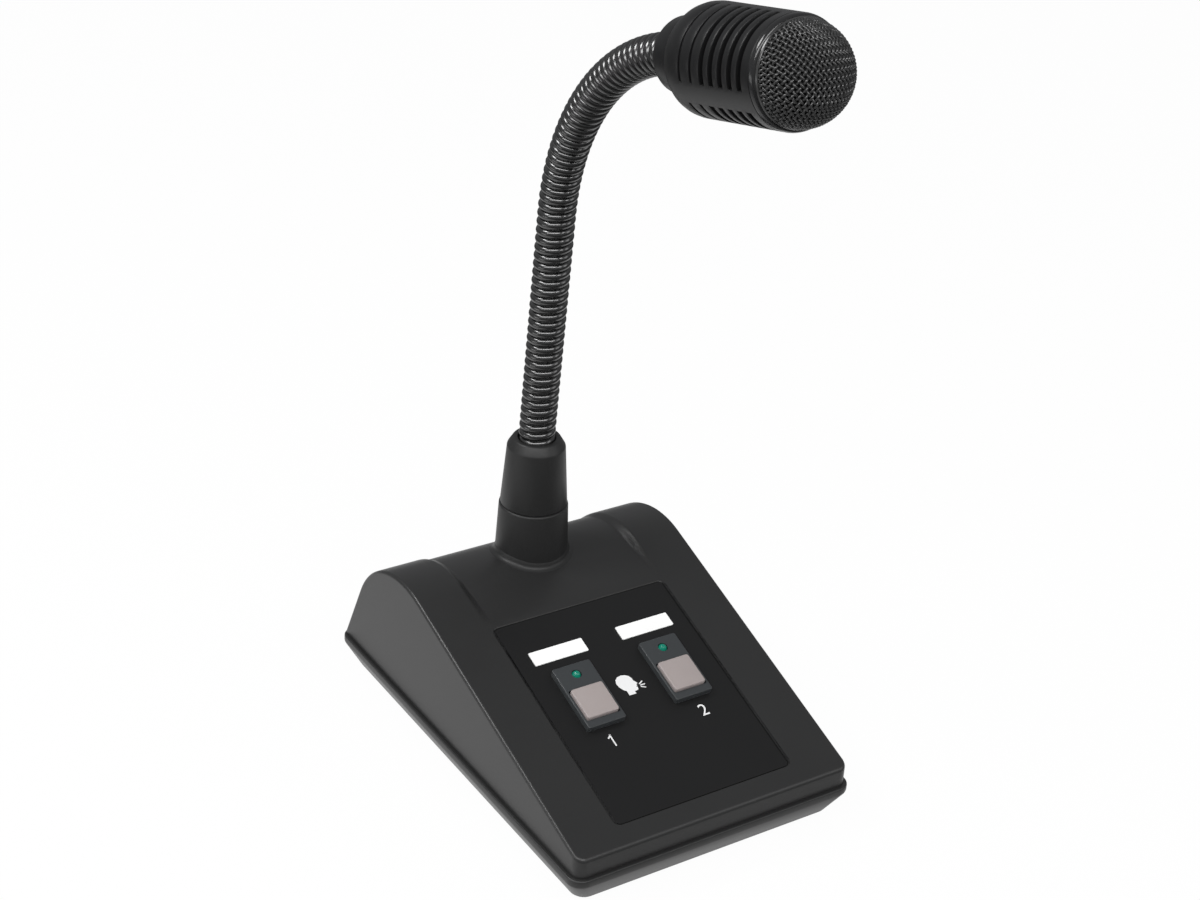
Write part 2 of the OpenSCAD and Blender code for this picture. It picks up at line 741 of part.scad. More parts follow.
// Boot: the bush is clamped through the shell by its nut, and carries the collar, the sleeve and the neck
module neck_washer() {
    color("#aaadb1") on_desk() translate([0, boot_y, 0]) difference() {
        rod(washer_r, pad_z - washer_t, pad_z);
        rod(bush_r + seat_gap, 0, pad_z + past);
    }
}
module neck_nut() {
    top = pad_z - washer_t;
    color("#aaadb1") on_desk() translate([0, boot_y, 0]) difference() {
        translate([0, 0, top - nut_t]) cylinder(h = nut_t, r = nut_r, $fn = 6);
        rod(bush_r + seat_gap, 0, top + past);
    }
}
module neck_bush() {
    color("#c3b184") on_desk() translate([0, boot_y, 0]) difference() {
        union() {
            rod(bush_r, bush_bottom, bush_top);
            rod(bush_flange_r, bush_flange_z, bush_flange_z + bush_flange_t);
        }
        rod(bush_lead_r, bush_bottom - past, bush_top);
        rod(neck_r + pass_gap, neck_z, bush_top + past);
    }
}
module boot_collar() {
    foot = saddle_top(boot_y + boot_r) - 2;
    color("#303032") on_desk() difference() {
        translate([0, boot_y, 0]) difference() {
            union() {
                cone(boot_r, boot_mid_r, foot, boot_mid_z - groove_chamfer);
                cone(boot_mid_r, boot_mid_r - groove_chamfer, boot_mid_z - groove_chamfer, boot_mid_z);
            }
            rod(bush_r + pass_gap, foot - past, boot_mid_z + past);
            rod(bush_flange_r + pass_gap, bush_flange_z, boot_mid_z + past);
        }
        along_x(-2 * boot_r, 2 * boot_r) saddle_floor(seat_gap);
    }
}
module boot_sleeve() {
    color("#303032") on_desk() translate([0, boot_y, 0]) difference() {
        union() {
            cone(boot_mid_r - 2 * groove_chamfer, boot_mid_r - groove_chamfer, boot_mid_z, boot_mid_z + groove_chamfer);
            cone(boot_mid_r - groove_chamfer, boot_top_r, boot_mid_z + groove_chamfer, sleeve_shoulder_z);
            cone(boot_top_r, sleeve_mouth_r, sleeve_shoulder_z, boot_top_z);
        }
        rod(bush_r + pass_gap, boot_mid_z - past, bush_top + 0.5);
        rod(neck_hole_r, boot_mid_z, boot_top_z + past);
    }
}

// One ring of the neck or the lead: sides points of radius r about the path at the distance s
sides = 8;
function path_ring(s, r) =
    let (p = neck_point(s), a = neck_angle(s))
    [for (i = [0 : sides - 1]) let (t = 360 * (i + 0.5) / sides)
        [r * cos(t), p[0] + r * sin(t) * cos(a), p[1] + r * sin(t) * sin(a)]];
// Triangles of a wall between rings in order, starting at the point first; in_side turns them inwards
function wall_faces(rings, first, in_side) =
    [for (j = [0 : rings - 2], i = [0 : sides - 1])
        let (
            a = first + j * sides + i,
            b = first + j * sides + (i + 1) % sides,
            c = b + sides,
            d = a + sides
        )
        each (in_side ? [[a, c, d], [a, b, c]] : [[a, d, c], [a, c, b]])];
// Triangles of a flat ring between an outer and an inner ring; the far end looks along the path
function rim_faces(outer, inner, far) =
    [for (i = [0 : sides - 1])
        let (o = outer + i, p = outer + (i + 1) % sides, n = inner + i, m = inner + (i + 1) % sides)
        each (far ? [[o, n, m], [o, m, p]] : [[o, m, n], [o, p, m]])];
// Triangles that close a ring
function cap_faces(ring, far) =
    [for (i = [1 : sides - 2]) far ? [ring, ring + i + 1, ring + i] : [ring, ring + i, ring + i + 1]];

module neck_section(link) {
    s0 = link_start(link);
    ribs = rib_count(link);
    outer = [
        for (k = [0 : 2 * ribs])
            each path_ring(s0 + k * rib_pitch / 2, k % 2 == 0 ? neck_r - rib_d : neck_r)
    ];
    inner = [for (k = [0 : ribs]) each path_ring(s0 + k * rib_pitch, neck_bore_r)];
    inner_0 = len(outer);
    faces = concat(
        wall_faces(2 * ribs + 1, 0, false),
        wall_faces(ribs + 1, inner_0, true),
        rim_faces(0, inner_0, false),
        rim_faces(inner_0 - sides, inner_0 + ribs * sides, true)
    );
    color("#3d3e40") on_desk() polyhedron(points = concat(outer, inner), faces = faces);
}

// A closed tube through rings of points
module closed_tube(points) {
    rings = len(points) / sides;
    faces = concat(
        wall_faces(rings, 0, false), cap_faces(0, false), cap_faces((rings - 1) * sides, true)
    );
    polyhedron(points = points, faces = faces);
}
module lead_section(link) {
    s0 = link_start(link);
    s1 = link == links - 1 ? lead_end : link_start(link + 1);
    steps = ceil((s1 - s0) / lead_ring_step);
    color("#202022") on_desk()
        closed_tube([for (k = [0 : steps]) each path_ring(s0 + (s1 - s0) * k / steps, lead_r)]);
}

// A tube through points in space, each ring square to the way through its point
function unit(v) = v / norm(v);
function heading(points, k) =
    let (last = len(points) - 1)
    k == 0 ? unit(points[1] - points[0])
    : k == last ? unit(points[last] - points[last - 1])
    : unit(unit(points[k + 1] - points[k]) + unit(points[k] - points[k - 1]));
function route_ring(points, k, r) =
    let (w = heading(points, k), u = [1, 0, 0], x = unit(u - w * (u * w)), y = cross(w, x))
    [for (i = [0 : sides - 1]) let (t = 360 * (i + 0.5) / sides) points[k] + r * (cos(t) * x + sin(t) * y)];
module route_tube(points, r) {
    closed_tube([for (k = [0 : len(points) - 1]) each route_ring(points, k, r)]);
}
function reversed(list) = [for (k = [len(list) - 1 : -1 : 0]) list[k]];
module mic_lead_tail() {
    color("#202022") on_desk() route_tube(reversed(tail_points), lead_r);
}
module socket_wires() {
    color("#6a2f2f") on_desk() route_tube(reversed(wire_points), wire_r);
}

// Head, along its own axis from the collar's rear
module head_collar() {
    color("#333335") on_head() difference() {
        union() {
            cone(collar_r - collar_chamfer, collar_r, 0, collar_chamfer);
            cone(collar_r, collar_front_r, collar_chamfer, collar_l);
            rod(collar_spigot_r, collar_l - past, collar_l + collar_spigot_l);
        }
        rod(neck_r + pass_gap, -past, collar_l + collar_spigot_l - collar_web);
        rod(lead_r + pass_gap, 0, collar_l + collar_spigot_l + past);
    }
}
module slot_rings(z, r0, r1, w) {
    sector = 360 / slot_sectors;
    span = sector - slot_rib;
    for (k = [0 : slot_sectors - 1]) rotate(slot_turn + slot_rib / 2 + sector * k)
        rotate_extrude(angle = span) translate([r0, z - w / 2]) square([r1 - r0, w]);
}
module head_body() {
    shoulder_c = [body_r - shoulder_r, shoulder_end];
    color("#333335") on_head() difference() {
        rotate_extrude() difference() {
            union() {
                polygon([[0, shoulder_end], [body_r, shoulder_end], [body_front_r, body_front], [0, body_front]]);
                intersection() {
                    translate(shoulder_c) circle(shoulder_r);
                    translate([0, collar_l]) square([body_r, shoulder_l]);
                }
            }
            translate([0, collar_l - past]) square([collar_spigot_r + seat_gap, 2 * collar_l + shoulder_l]);
            polygon([
                [0, shoulder_end - bore_taper], [body_bore_r - bore_taper, shoulder_end - bore_taper],
                [body_bore_r, shoulder_end], [body_bore_r, body_front + past], [0, body_front + past]
            ]);
        }
        for (k = [0 : slot_rows - 1])
            slot_rings(slot_last + k * slot_pitch, body_bore_r - past, body_r + past, slot_w);
        for (k = [0 : groove_rows - 1])
            slot_rings(slot_last - (k + 1) * groove_pitch, body_r - groove_d, body_r + past, slot_w / 2);
    }
}
module vent_liner() {
    z0 = slot_last - slot_pitch;
    color("#151516") on_head() difference() {
        rod(body_bore_r - seat_gap, z0, body_front - liner_setback);
        rod(body_bore_r - liner_t, z0 - past, body_front);
    }
}
module capsule() {
    z0 = capsule_rear;
    color("#b5b3ad") on_head() difference() {
        union() {
            rod(capsule_r * stem_part, z0, z0 + capsule_stem_l);
            rod(capsule_r, z0 + capsule_stem_l - past, z0 + capsule_l);
        }
        for (a = [0 : 60 : 300]) rotate(a) translate([capsule_r * 0.6, 0, 0])
            rod(port_r, z0 + capsule_l - port_d, z0 + capsule_l + past);
    }
}
module capsule_holder() {
    z0 = capsule_rear + holder_back;
    color("#232324") on_head() difference() {
        rod(body_bore_r - liner_t - seat_gap, z0, z0 + holder_l);
        rod(capsule_r + seat_gap, z0 - past, z0 + holder_l + past);
    }
}

// Outline of the dome, set in from its outer face
module dome_profile(inset) {
    intersection() {
        translate([0, dome_z - dome_drop]) circle(dome_front_r - inset);
        translate([0, dome_z]) square([dome_r, dome_h + past]);
    }
}
module foam_plug() {
    z0 = capsule_rear + capsule_l;
    color("#29292b") on_head() {
        rod(body_bore_r - foam_gap, z0 + seat_gap, dome_z + past);
        rotate_extrude() dome_profile(dome_t + lining_gap);
    }
}
module grille() {
    color("#4a4b4d") on_head() {
        rotate_extrude() difference() {
            dome_profile(0);
            dome_profile(dome_t);
        }
        difference() {
            rod(dome_r - seat_gap, body_front, dome_z);
            rod(dome_r - dome_t / 2, body_front - past, dome_z + past);
        }
    }
}
module grille_ring() {
    color("#333335") on_head() difference() {
        union() {
            rod(body_front_r, body_front, dome_z - rim_chamfer);
            cone(body_front_r, body_front_r - rim_chamfer, dome_z - rim_chamfer, dome_z);
        }
        rod(dome_r, body_front - past, dome_z + past);
    }
}

base_tray();
weight_plate();
rubber_feet();
case_screws();
top_shell();
panel_label();
name_strip(-key_x);  // name_strip_1
name_strip(key_x);  // name_strip_2
switch_frame(-key_x);  // switch_frame_1
switch_frame(key_x);  // switch_frame_2
talk_key(-key_x);  // talk_key_1
talk_key(key_x);  // talk_key_2
lamp(-key_x);  // lamp_1
lamp(key_x);  // lamp_2
lamp_spacers();
key_switch(-key_x);  // key_switch_1
key_switch(key_x);  // key_switch_2
control_board();
board_screws();
preamp_chip();
capacitors();
board_headers();
socket_shell();
socket_insert();
socket_contacts();
socket_screws();
socket_wires();
neck_washer();
neck_nut();
neck_bush();
boot_collar();
boot_sleeve();
mic_lead_tail();
neck_section(0);  // neck_section_1
neck_section(1);  // neck_section_2
neck_section(2);  // neck_section_3
neck_section(3);  // neck_section_4
neck_section(4);  // neck_section_5
neck_section(5);  // neck_section_6
neck_section(6);  // neck_section_7
lead_section(0);  // lead_section_1
lead_section(1);  // lead_section_2
lead_section(2);  // lead_section_3
lead_section(3);  // lead_section_4
lead_section(4);  // lead_section_5
lead_section(5);  // lead_section_6
lead_section(6);  // lead_section_7
head_collar();
head_body();
vent_liner();
capsule();
capsule_holder();
foam_plug();
grille();
grille_ring();
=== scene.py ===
import math

import bmesh
import bpy
from mathutils import Matrix, Vector


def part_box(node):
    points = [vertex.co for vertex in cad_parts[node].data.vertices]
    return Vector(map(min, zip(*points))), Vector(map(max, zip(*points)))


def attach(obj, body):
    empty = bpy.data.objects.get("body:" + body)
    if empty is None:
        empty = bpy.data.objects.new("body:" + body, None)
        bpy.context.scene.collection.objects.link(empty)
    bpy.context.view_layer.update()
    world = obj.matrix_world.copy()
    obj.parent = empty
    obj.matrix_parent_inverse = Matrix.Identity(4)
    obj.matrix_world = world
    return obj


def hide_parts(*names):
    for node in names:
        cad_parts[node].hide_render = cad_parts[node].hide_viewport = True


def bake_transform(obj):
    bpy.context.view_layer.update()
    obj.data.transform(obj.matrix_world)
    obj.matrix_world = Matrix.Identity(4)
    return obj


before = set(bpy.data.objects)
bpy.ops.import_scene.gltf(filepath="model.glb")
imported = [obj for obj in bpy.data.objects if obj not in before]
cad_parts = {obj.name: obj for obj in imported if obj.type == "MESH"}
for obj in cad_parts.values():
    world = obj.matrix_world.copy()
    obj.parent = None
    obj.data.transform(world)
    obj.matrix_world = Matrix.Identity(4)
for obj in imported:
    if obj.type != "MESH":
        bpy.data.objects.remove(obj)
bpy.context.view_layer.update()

# Camera: a portrait lens from the front left, looking down on the case, as in the photograph.
# Its place and turn are in the part's own frame, so the picture needs no fitting.
MM = 0.001
tray_low, tray_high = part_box("base_tray")
CASE_Y = (tray_low.y + tray_high.y) / 2 / MM
CASE_Z = tray_low.z / MM


def case_point(x, y, z):
    """A place in case millimetres, from the middle of the tray's underside, as a place in metres."""
    return Vector((x, y + CASE_Y, z + CASE_Z)) * MM


LENS_PLACE = case_point(-353.8, -517.55, 451.42)
LENS_RIGHT = (0.8426, -0.5353, 0.0586)
LENS_UP = (0.2139, 0.4326, 0.8758)
LENS_BACK = (-0.4942, -0.7255, 0.4791)
bpy.ops.object.camera_add()
camera = bpy.context.object
camera.name = "photo_camera"
camera.data.lens = 67.45
camera.data.sensor_width = 36
camera.data.clip_start = 0.01
lens_turn = Matrix((LENS_RIGHT, LENS_UP, LENS_BACK)).transposed().to_4x4()
camera.matrix_world = Matrix.Translation(LENS_PLACE) @ lens_turn
scene = bpy.context.scene
scene.camera = camera
scene.view_settings.view_transform = "Standard"

# Studio: white paper under the object, a long strip light above the camera, a small box high on the left that
# draws the case's edges, and faint boxes low on the left and on the right.
# Shiny faces see the paper's glow painted dark before the object and far off: painted shade in reflections.
PAPER_SIZE, PAPER_GREY, GLOW_SHARE, PAPER_TONE, REFLECTION_SHADE = 6, 0.86, 0.97, 0.88, 0.12
WHITE_WITHIN, DARK_BEYOND, WHITE_BEHIND, DARK_BEFORE = 0.2, 0.5, -0.06, -0.13
bpy.ops.object.select_all(action="DESELECT")
bpy.ops.mesh.primitive_plane_add(size=PAPER_SIZE, location=(0, 0, 0))
paper = bpy.context.object
paper.name = "paper_floor"


def add_node(tree, kind, values=None, **settings):
    """A new shader node of this kind, with its own settings and the values of its inputs."""
    node = tree.nodes.new(f"ShaderNode{kind}")
    for name, value in settings.items():
        setattr(node, name, value)
    for name, value in (values or {}).items():
        node.inputs[name].default_value = value
    return node


def paper_rays(tree):
    """How much of the paper's glow a ray sees, and how white that glow is to it.

    Rays from the lens, from shiny faces and through glass see it. Shiny faces see white beside and behind the
    object; before it and further off the glow they see is painted dark, as painted shade in their
    reflections.
    """
    path = add_node(tree, "LightPath")
    place = add_node(tree, "TexCoord")
    sides = add_node(tree, "SeparateXYZ")
    far = add_node(tree, "VectorMath", operation="LENGTH")
    tree.links.new(place.outputs["Object"], sides.inputs[0])
    tree.links.new(place.outputs["Object"], far.inputs[0])
    grades = []
    for value, dark_at, white_at, white in (
        (far.outputs["Value"], DARK_BEYOND, WHITE_WITHIN, PAPER_TONE),
        (sides.outputs["Y"], DARK_BEFORE, WHITE_BEHIND, 1),
    ):
        limits = {"From Min": dark_at, "From Max": white_at, "To Min": REFLECTION_SHADE, "To Max": white}
        grade = add_node(tree, "MapRange", limits)
        tree.links.new(value, grade.inputs["Value"])
        grades.append(grade.outputs[0])

    def combine(operation, *values):
        """The result of a mathematical operation on sockets or numbers."""
        node = add_node(tree, "Math", operation=operation)
        for socket, value in zip(node.inputs, values):
            if isinstance(value, (int, float)):
                socket.default_value = value
            else:
                tree.links.new(value, socket)
        return node.outputs[0]

    shiny = path.outputs["Is Glossy Ray"]
    seen = combine("MAXIMUM", path.outputs["Is Camera Ray"], path.outputs["Is Transmission Ray"])
    seen = combine("MAXIMUM", seen, shiny)
    # Both grades paint the glow that shiny faces see darker: painted shade in their reflections.
    darker = combine("SUBTRACT", combine("MULTIPLY", *grades), 1)
    return combine("MULTIPLY", seen, GLOW_SHARE), combine("MULTIPLY_ADD", darker, shiny, 1)


def mix_to_output(tree, share, first, second, output):
    """Mixes two shaders by a share and wires them to an output node of this kind."""
    mix = add_node(tree, "MixShader")
    out = add_node(tree, output)
    tree.links.new(share, mix.inputs[0])
    tree.links.new(first.outputs[0], mix.inputs[1])
    tree.links.new(second.outputs[0], mix.inputs[2])
    tree.links.new(mix.outputs[0], out.inputs["Surface"])


paper_look = bpy.data.materials.new("white_paper")
paper_look.use_nodes = True
paper_tree = paper_look.node_tree
paper_tree.nodes.clear()
matt = add_node(paper_tree, "BsdfDiffuse", {"Color": (PAPER_GREY, PAPER_GREY, PAPER_GREY, 1)})
glow = add_node(paper_tree, "Emission", {"Strength": 1})
glow_share, whiteness = paper_rays(paper_tree)
paper_tree.links.new(whiteness, glow.inputs["Color"])
mix_to_output(paper_tree, glow_share, matt, glow, "OutputMaterial")
paper.data.materials.append(paper_look)

world = bpy.data.worlds.new("white_room")
scene.world = world
world.use_nodes = True
room_tree = world.node_tree
room_tree.nodes.clear()
room_light = add_node(room_tree, "Background", {"Color": (0.97, 0.98, 1, 1), "Strength": 0.3})
room_white = add_node(room_tree, "Background", {"Color": (1, 1, 1, 1), "Strength": 1})
room_path = add_node(room_tree, "LightPath")
mix_to_output(room_tree, room_path.outputs["Is Camera Ray"], room_light, room_white, "OutputWorld")


def soft_box(name, place, aim, width, height, watts):
    """A rectangular soft box at place, facing aim."""
    bpy.ops.object.light_add(type="AREA", location=place)
    lamp = bpy.context.object
    lamp.name = name
    lamp.data.shape = "RECTANGLE"
    lamp.data.size = width
    lamp.data.size_y = height
    lamp.data.energy = watts
    lamp.rotation_mode = "QUATERNION"
    lamp.rotation_quaternion = (Vector(aim) - Vector(place)).to_track_quat("-Z", "Y")


soft_box("main_box", (-0.42, -0.62, 0.98), (0, 0, 0.12), 2.2, 0.25, 13)
soft_box("edge_box", (-0.55, 0.32, 0.9), (0, 0, 0.04), 0.3, 0.3, 4)
soft_box("left_box", (-0.8, 0.2, 0.1), (0, 0, 0.03), 0.5, 0.15, 0.5)
soft_box("right_box", (0.9, -0.8, 0.6), (0, 0, 0.1), 0.5, 0.5, 1.5)

# Base tray: the injection-moulded lower half of the case, with tapered sides and a lip that the top sits on.
# It is dark plastic, and its floor has counterbored holes for the case screws.
LIP_W, LIP_L, LIP_Z, LIP_H = 106.5, 157.5, 8.6, 2.5
TRAY_INSET, WALL, LIP_LEDGE, LIP_CORNER = 4.7, 2.4, 1.4, 5
SOLE_EDGE, LIP_TOP_EDGE, LIP_LOW_EDGE, LIP_SIDE_X = 0.5, 0.55, 0.4, 44
SCREW_X, SCREW_Y, SINK_R, SINK_L = LIP_W / 2 - 10.5, 50, 3.2, 6.8
PART_Z = LIP_Z + LIP_H
NEAR = 0.2 * MM
CORNERS = ((-1, -1), (-1, 1), (1, -1), (1, 1))


def add_block(name, low, high):
    """A block between two corners in metres, with its place in its mesh."""
    bpy.ops.object.select_all(action="DESELECT")
    bpy.ops.mesh.primitive_cube_add(size=1, location=(Vector(low) + Vector(high)) / 2)
    block = bpy.context.object
    block.name = name
    block.scale = Vector(high) - Vector(low)
    bpy.ops.object.transform_apply()
    return block


def select_parts(kind, test):
    """In edit mode, selects the faces or the edges that pass the test."""
    mesh = bmesh.from_edit_mesh(bpy.context.object.data)
    bpy.ops.mesh.select_all(action="DESELECT")
    bpy.ops.mesh.select_mode(type=kind)
    for part in mesh.faces if kind == "FACE" else mesh.edges:
        part.select_set(bool(test(part)))
    bmesh.update_edit_mesh(bpy.context.object.data)


def select_faces(test):
    """In edit mode, selects the faces whose middle and normal pass the test."""
    select_parts("FACE", lambda face: test(face.calc_center_median(), face.normal))


def select_edges(test):
    """In edit mode, selects the edges whose two ends pass the test."""
    select_parts("EDGE", lambda edge: test(edge.verts[0].co, edge.verts[1].co))


def bevel_edges(radius, segments, **settings):
    """In edit mode, rounds the selected edges by a radius in millimetres."""
    bpy.ops.mesh.bevel(offset=radius * MM, segments=segments, affect="EDGES", **settings)


def round_creases(degrees, test, radius, segments, **settings):
    """In edit mode, rounds the edges that fold by more than an angle and whose middle passes the test."""

    def is_crease(edge):
        """Whether an edge has two faces, folds enough and lies in the right place."""
        if len(edge.link_faces) != 2 or edge.calc_face_angle() <= math.radians(degrees):
            return False
        return test((edge.verts[0].co + edge.verts[1].co) / 2)

    select_parts("EDGE", is_crease)
    bevel_edges(radius, segments, **settings)


def take_up(piece):
    """Selects this piece alone and makes it the active one."""
    bpy.ops.object.select_all(action="DESELECT")
    piece.select_set(True)
    bpy.context.view_layer.objects.active = piece


def use_modifier(piece, kind, **settings):
    """Adds a modifier with these settings and applies it."""
    take_up(piece)
    bpy.ops.object.modifier_add(type=kind)
    modifier = piece.modifiers[-1]
    for name, value in settings.items():
        setattr(modifier, name, value)
    bpy.ops.object.modifier_apply(modifier=modifier.name)


def cut_away(piece, cutter):
    """Takes the cutter's volume out of the piece, and removes the cutter."""
    use_modifier(piece, "BOOLEAN", operation="DIFFERENCE", solver="EXACT", object=cutter)
    bpy.data.objects.remove(cutter)


def add_rod(name, place, radius, length, turn=(0, 0, 0), sides=48):
    """A round rod in millimetres with its middle at place in metres, along Z before it is turned."""
    bpy.ops.object.select_all(action="DESELECT")
    bpy.ops.mesh.primitive_cylinder_add(
        vertices=sides, radius=radius * MM, depth=length * MM, location=place, rotation=turn
    )
    rod = bpy.context.object
    rod.name = name
    bpy.ops.object.transform_apply()
    return rod


def finish_edges(piece, degrees=32):
    """Smooth shading that keeps the piece's real edges."""
    take_up(piece)
    bpy.ops.object.shade_smooth_by_angle(angle=math.radians(degrees))


tray = add_block(
    "case_tray", case_point(-LIP_W / 2, -LIP_L / 2, LIP_Z), case_point(LIP_W / 2, LIP_L / 2, PART_Z)
)
bpy.ops.object.mode_set(mode="EDIT")
select_edges(lambda a, b: abs(a.z - b.z) > MM)
bevel_edges(LIP_CORNER, 8)
select_faces(lambda c, n: n.z < -0.9)
bpy.ops.mesh.extrude_region_move(TRANSFORM_OT_translate={"value": (0, 0, -LIP_Z * MM)})
bpy.ops.transform.resize(
    value=(1 - 2 * TRAY_INSET / LIP_W, 1 - 2 * TRAY_INSET / LIP_L, 1), center_override=case_point(0, 0, 0)
)
round_creases(20, lambda c: c.z < case_point(0, 0, 1).z, SOLE_EDGE, 3)
select_faces(lambda c, n: n.z > 0.9)
bpy.ops.mesh.delete(type="FACE")
bpy.ops.object.mode_set(mode="OBJECT")
use_modifier(tray, "SOLIDIFY", thickness=WALL * MM, offset=-1, use_even_offset=True)
bpy.ops.object.mode_set(mode="EDIT")
lip_top, lip_low = case_point(0, 0, PART_Z).z, case_point(0, 0, LIP_Z).z
round_creases(40, lambda c: abs(c.z - lip_top) < NEAR, LIP_TOP_EDGE, 3)
round_creases(20, lambda c: abs(c.z - lip_low) < NEAR and abs(c.x) > LIP_SIDE_X * MM, LIP_LOW_EDGE, 2)
bpy.ops.object.mode_set(mode="OBJECT")
for i, j in CORNERS:
    cut_away(tray, add_rod("sink", case_point(i * SCREW_X, j * SCREW_Y, 0), SINK_R, SINK_L))
finish_edges(tray)


def wire_shader(tree, cloud, grain, colours, roughness, relief, depth_mm, own):
    """Wires clouds to the colour and grain to the gloss and relief, and sets the shader's own sockets."""
    shader = tree.nodes["Principled BSDF"]
    tint = add_node(tree, "Mix", {6: (*colours[0], 1), 7: (*colours[1], 1)}, data_type="RGBA")
    gloss = add_node(tree, "MapRange", {"To Min": roughness[0], "To Max": roughness[1]})
    bump = add_node(tree, "Bump", {"Strength": relief, "Distance": depth_mm * MM})
    for source, target in (
        (cloud.outputs["Fac"], tint.inputs[0]),
        (tint.outputs[2], shader.inputs["Base Color"]),
        (grain.outputs["Fac"], gloss.inputs["Value"]),
        (gloss.outputs[0], shader.inputs["Roughness"]),
        (grain.outputs["Fac"], bump.inputs["Height"]),
        (bump.outputs[0], shader.inputs["Normal"]),
    ):
        tree.links.new(source, target)
    for socket, value in (own or {}).items():
        shader.inputs[socket].default_value = value


def grey(level):
    """A neutral colour."""
    return level, level, level


def moulded_plastic(name, colour, lighter, roughness, grain_mm, relief, own=None):
    """A moulded skin: fine grain in the relief and the gloss, faint clouds in the colour."""
    look = bpy.data.materials.new(name)
    look.use_nodes = True
    tree = look.node_tree
    place = add_node(tree, "TexCoord")
    grain = add_node(tree, "TexNoise", {"Scale": 1 / (grain_mm * MM), "Detail": 3, "Roughness": 0.6})
    cloud = add_node(tree, "TexNoise", {"Scale": 45, "Detail": 4})
    tree.links.new(place.outputs["Object"], grain.inputs["Vector"])
    tree.links.new(place.outputs["Object"], cloud.inputs["Vector"])
    gloss = roughness - 0.05, roughness + 0.07
    wire_shader(tree, cloud, grain, (colour, lighter), gloss, relief, 0.1, own)
    return look


def wear(piece, look):
    """Gives a piece or a carried-over node one material."""
    piece.data.materials.clear()
    piece.data.materials.append(look)


case_look = moulded_plastic("case_grain", grey(0.016), grey(0.019), 0.36, 0.35, 0.18)
wear(tray, case_look)
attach(tray, "base")
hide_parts("base_tray")

# Weight plate, washer, nut and bush: zinc-plated steel and turned brass, inside the case.
# The plate lies on the tray's floor so that the case stays put when a key is pressed.


def plated_metal(name, colour, roughness, scratch_mm):
    """Bare or plated metal with fine drawn scratches and cloudy gloss."""
    look = bpy.data.materials.new(name)
    look.use_nodes = True
    tree = look.node_tree
    place = add_node(tree, "TexCoord")
    stretch = add_node(tree, "Mapping", {"Scale": (1, 1, 0.08)})
    drawn = add_node(tree, "TexNoise", {"Scale": 1 / (scratch_mm * MM), "Detail": 4})
    tree.links.new(place.outputs["Object"], stretch.inputs["Vector"])
    tree.links.new(stretch.outputs[0], drawn.inputs["Vector"])
    darker = [c * 0.8 for c in colour]
    gloss = roughness - 0.08, roughness + 0.12
    wire_shader(tree, drawn, drawn, (darker, colour), gloss, 0.15, 0.05, {"Metallic": 1})
    return look


def dress(look, *nodes):
    """Gives carried-over nodes one material."""
    for node in nodes:
        wear(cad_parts[node], look)


dress(plated_metal("zinc_plate", (0.55, 0.56, 0.58), 0.38, 1.5), "weight_plate", "neck_washer", "neck_nut")
dress(plated_metal("turned_brass", (0.66, 0.5, 0.24), 0.3, 0.8), "neck_bush")

# Rubber feet: four moulded pads stuck under the tray's corners.
# Their edge is rounded where it meets the desk.
FOOT_X, FOOT_Y, FOOT_R, FOOT_H, FOOT_DIMPLE = LIP_W / 2 - 13, LIP_L / 2 - 13, 6, 2, 0.25


def turned(name, outline, steps, matrix=None):
    """Spins an outline of (radius, height) points in millimetres round the Z axis into a closed piece."""
    mesh = bpy.data.meshes.new(name)
    piece = bpy.data.objects.new(name, mesh)
    scene.collection.objects.link(piece)
    points = [(r * MM, 0, z * MM) for r, z in outline]
    mesh.from_pydata(points, [(k, k + 1) for k in range(len(points) - 1)], [])
    take_up(piece)
    bpy.ops.object.mode_set(mode="EDIT")
    bpy.ops.mesh.select_all(action="SELECT")
    bpy.ops.mesh.spin(steps=steps, angle=2 * math.pi, center=(0, 0, 0), axis=(0, 0, 1))
    bpy.ops.mesh.select_all(action="SELECT")
    bpy.ops.mesh.remove_doubles(threshold=0.002 * MM)
    bpy.ops.mesh.normals_make_consistent(inside=False)
    bpy.ops.object.mode_set(mode="OBJECT")
    if matrix is not None:
        piece.matrix_world = matrix
        bpy.ops.object.transform_apply()
    return piece


def join_pieces(name, pieces):
    """Joins like pieces into one."""
    bpy.ops.object.select_all(action="DESELECT")
    for piece in pieces:
        piece.select_set(True)
    bpy.context.view_layer.objects.active = pieces[0]
    bpy.ops.object.join()
    pieces[0].name = name
    return pieces[0]


foot_outline = [
    (0, 0), (FOOT_R - 0.9, 0), (FOOT_R, 0), (FOOT_R, -0.3), (FOOT_R - 0.25, -1.3), (FOOT_R - 0.6, -1.8),
    (FOOT_R - 1.1, -FOOT_H), (3, -FOOT_H), (2.6, -FOOT_H + FOOT_DIMPLE), (0, -FOOT_H + FOOT_DIMPLE),
]
feet = []
for i, j in CORNERS:
    place = Matrix.Translation(case_point(i * FOOT_X, j * FOOT_Y, 0))
    feet.append(turned("foot", foot_outline, 40, place))
feet = join_pieces("desk_feet", feet)
finish_edges(feet, 40)
wear(feet, moulded_plastic("foot_rubber", grey(0.012), grey(0.02), 0.78, 0.5, 0.5))
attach(feet, "base")
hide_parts("rubber_feet")

# Case, board and socket screws: zinc-plated steel with cross recesses.
# They are carried over as they are, with a brighter plating than the inner parts.
screw_look = plated_metal("screw_plating", (0.68, 0.69, 0.7), 0.3, 0.6)
dress(screw_look, "case_screws", "board_screws", "socket_screws")

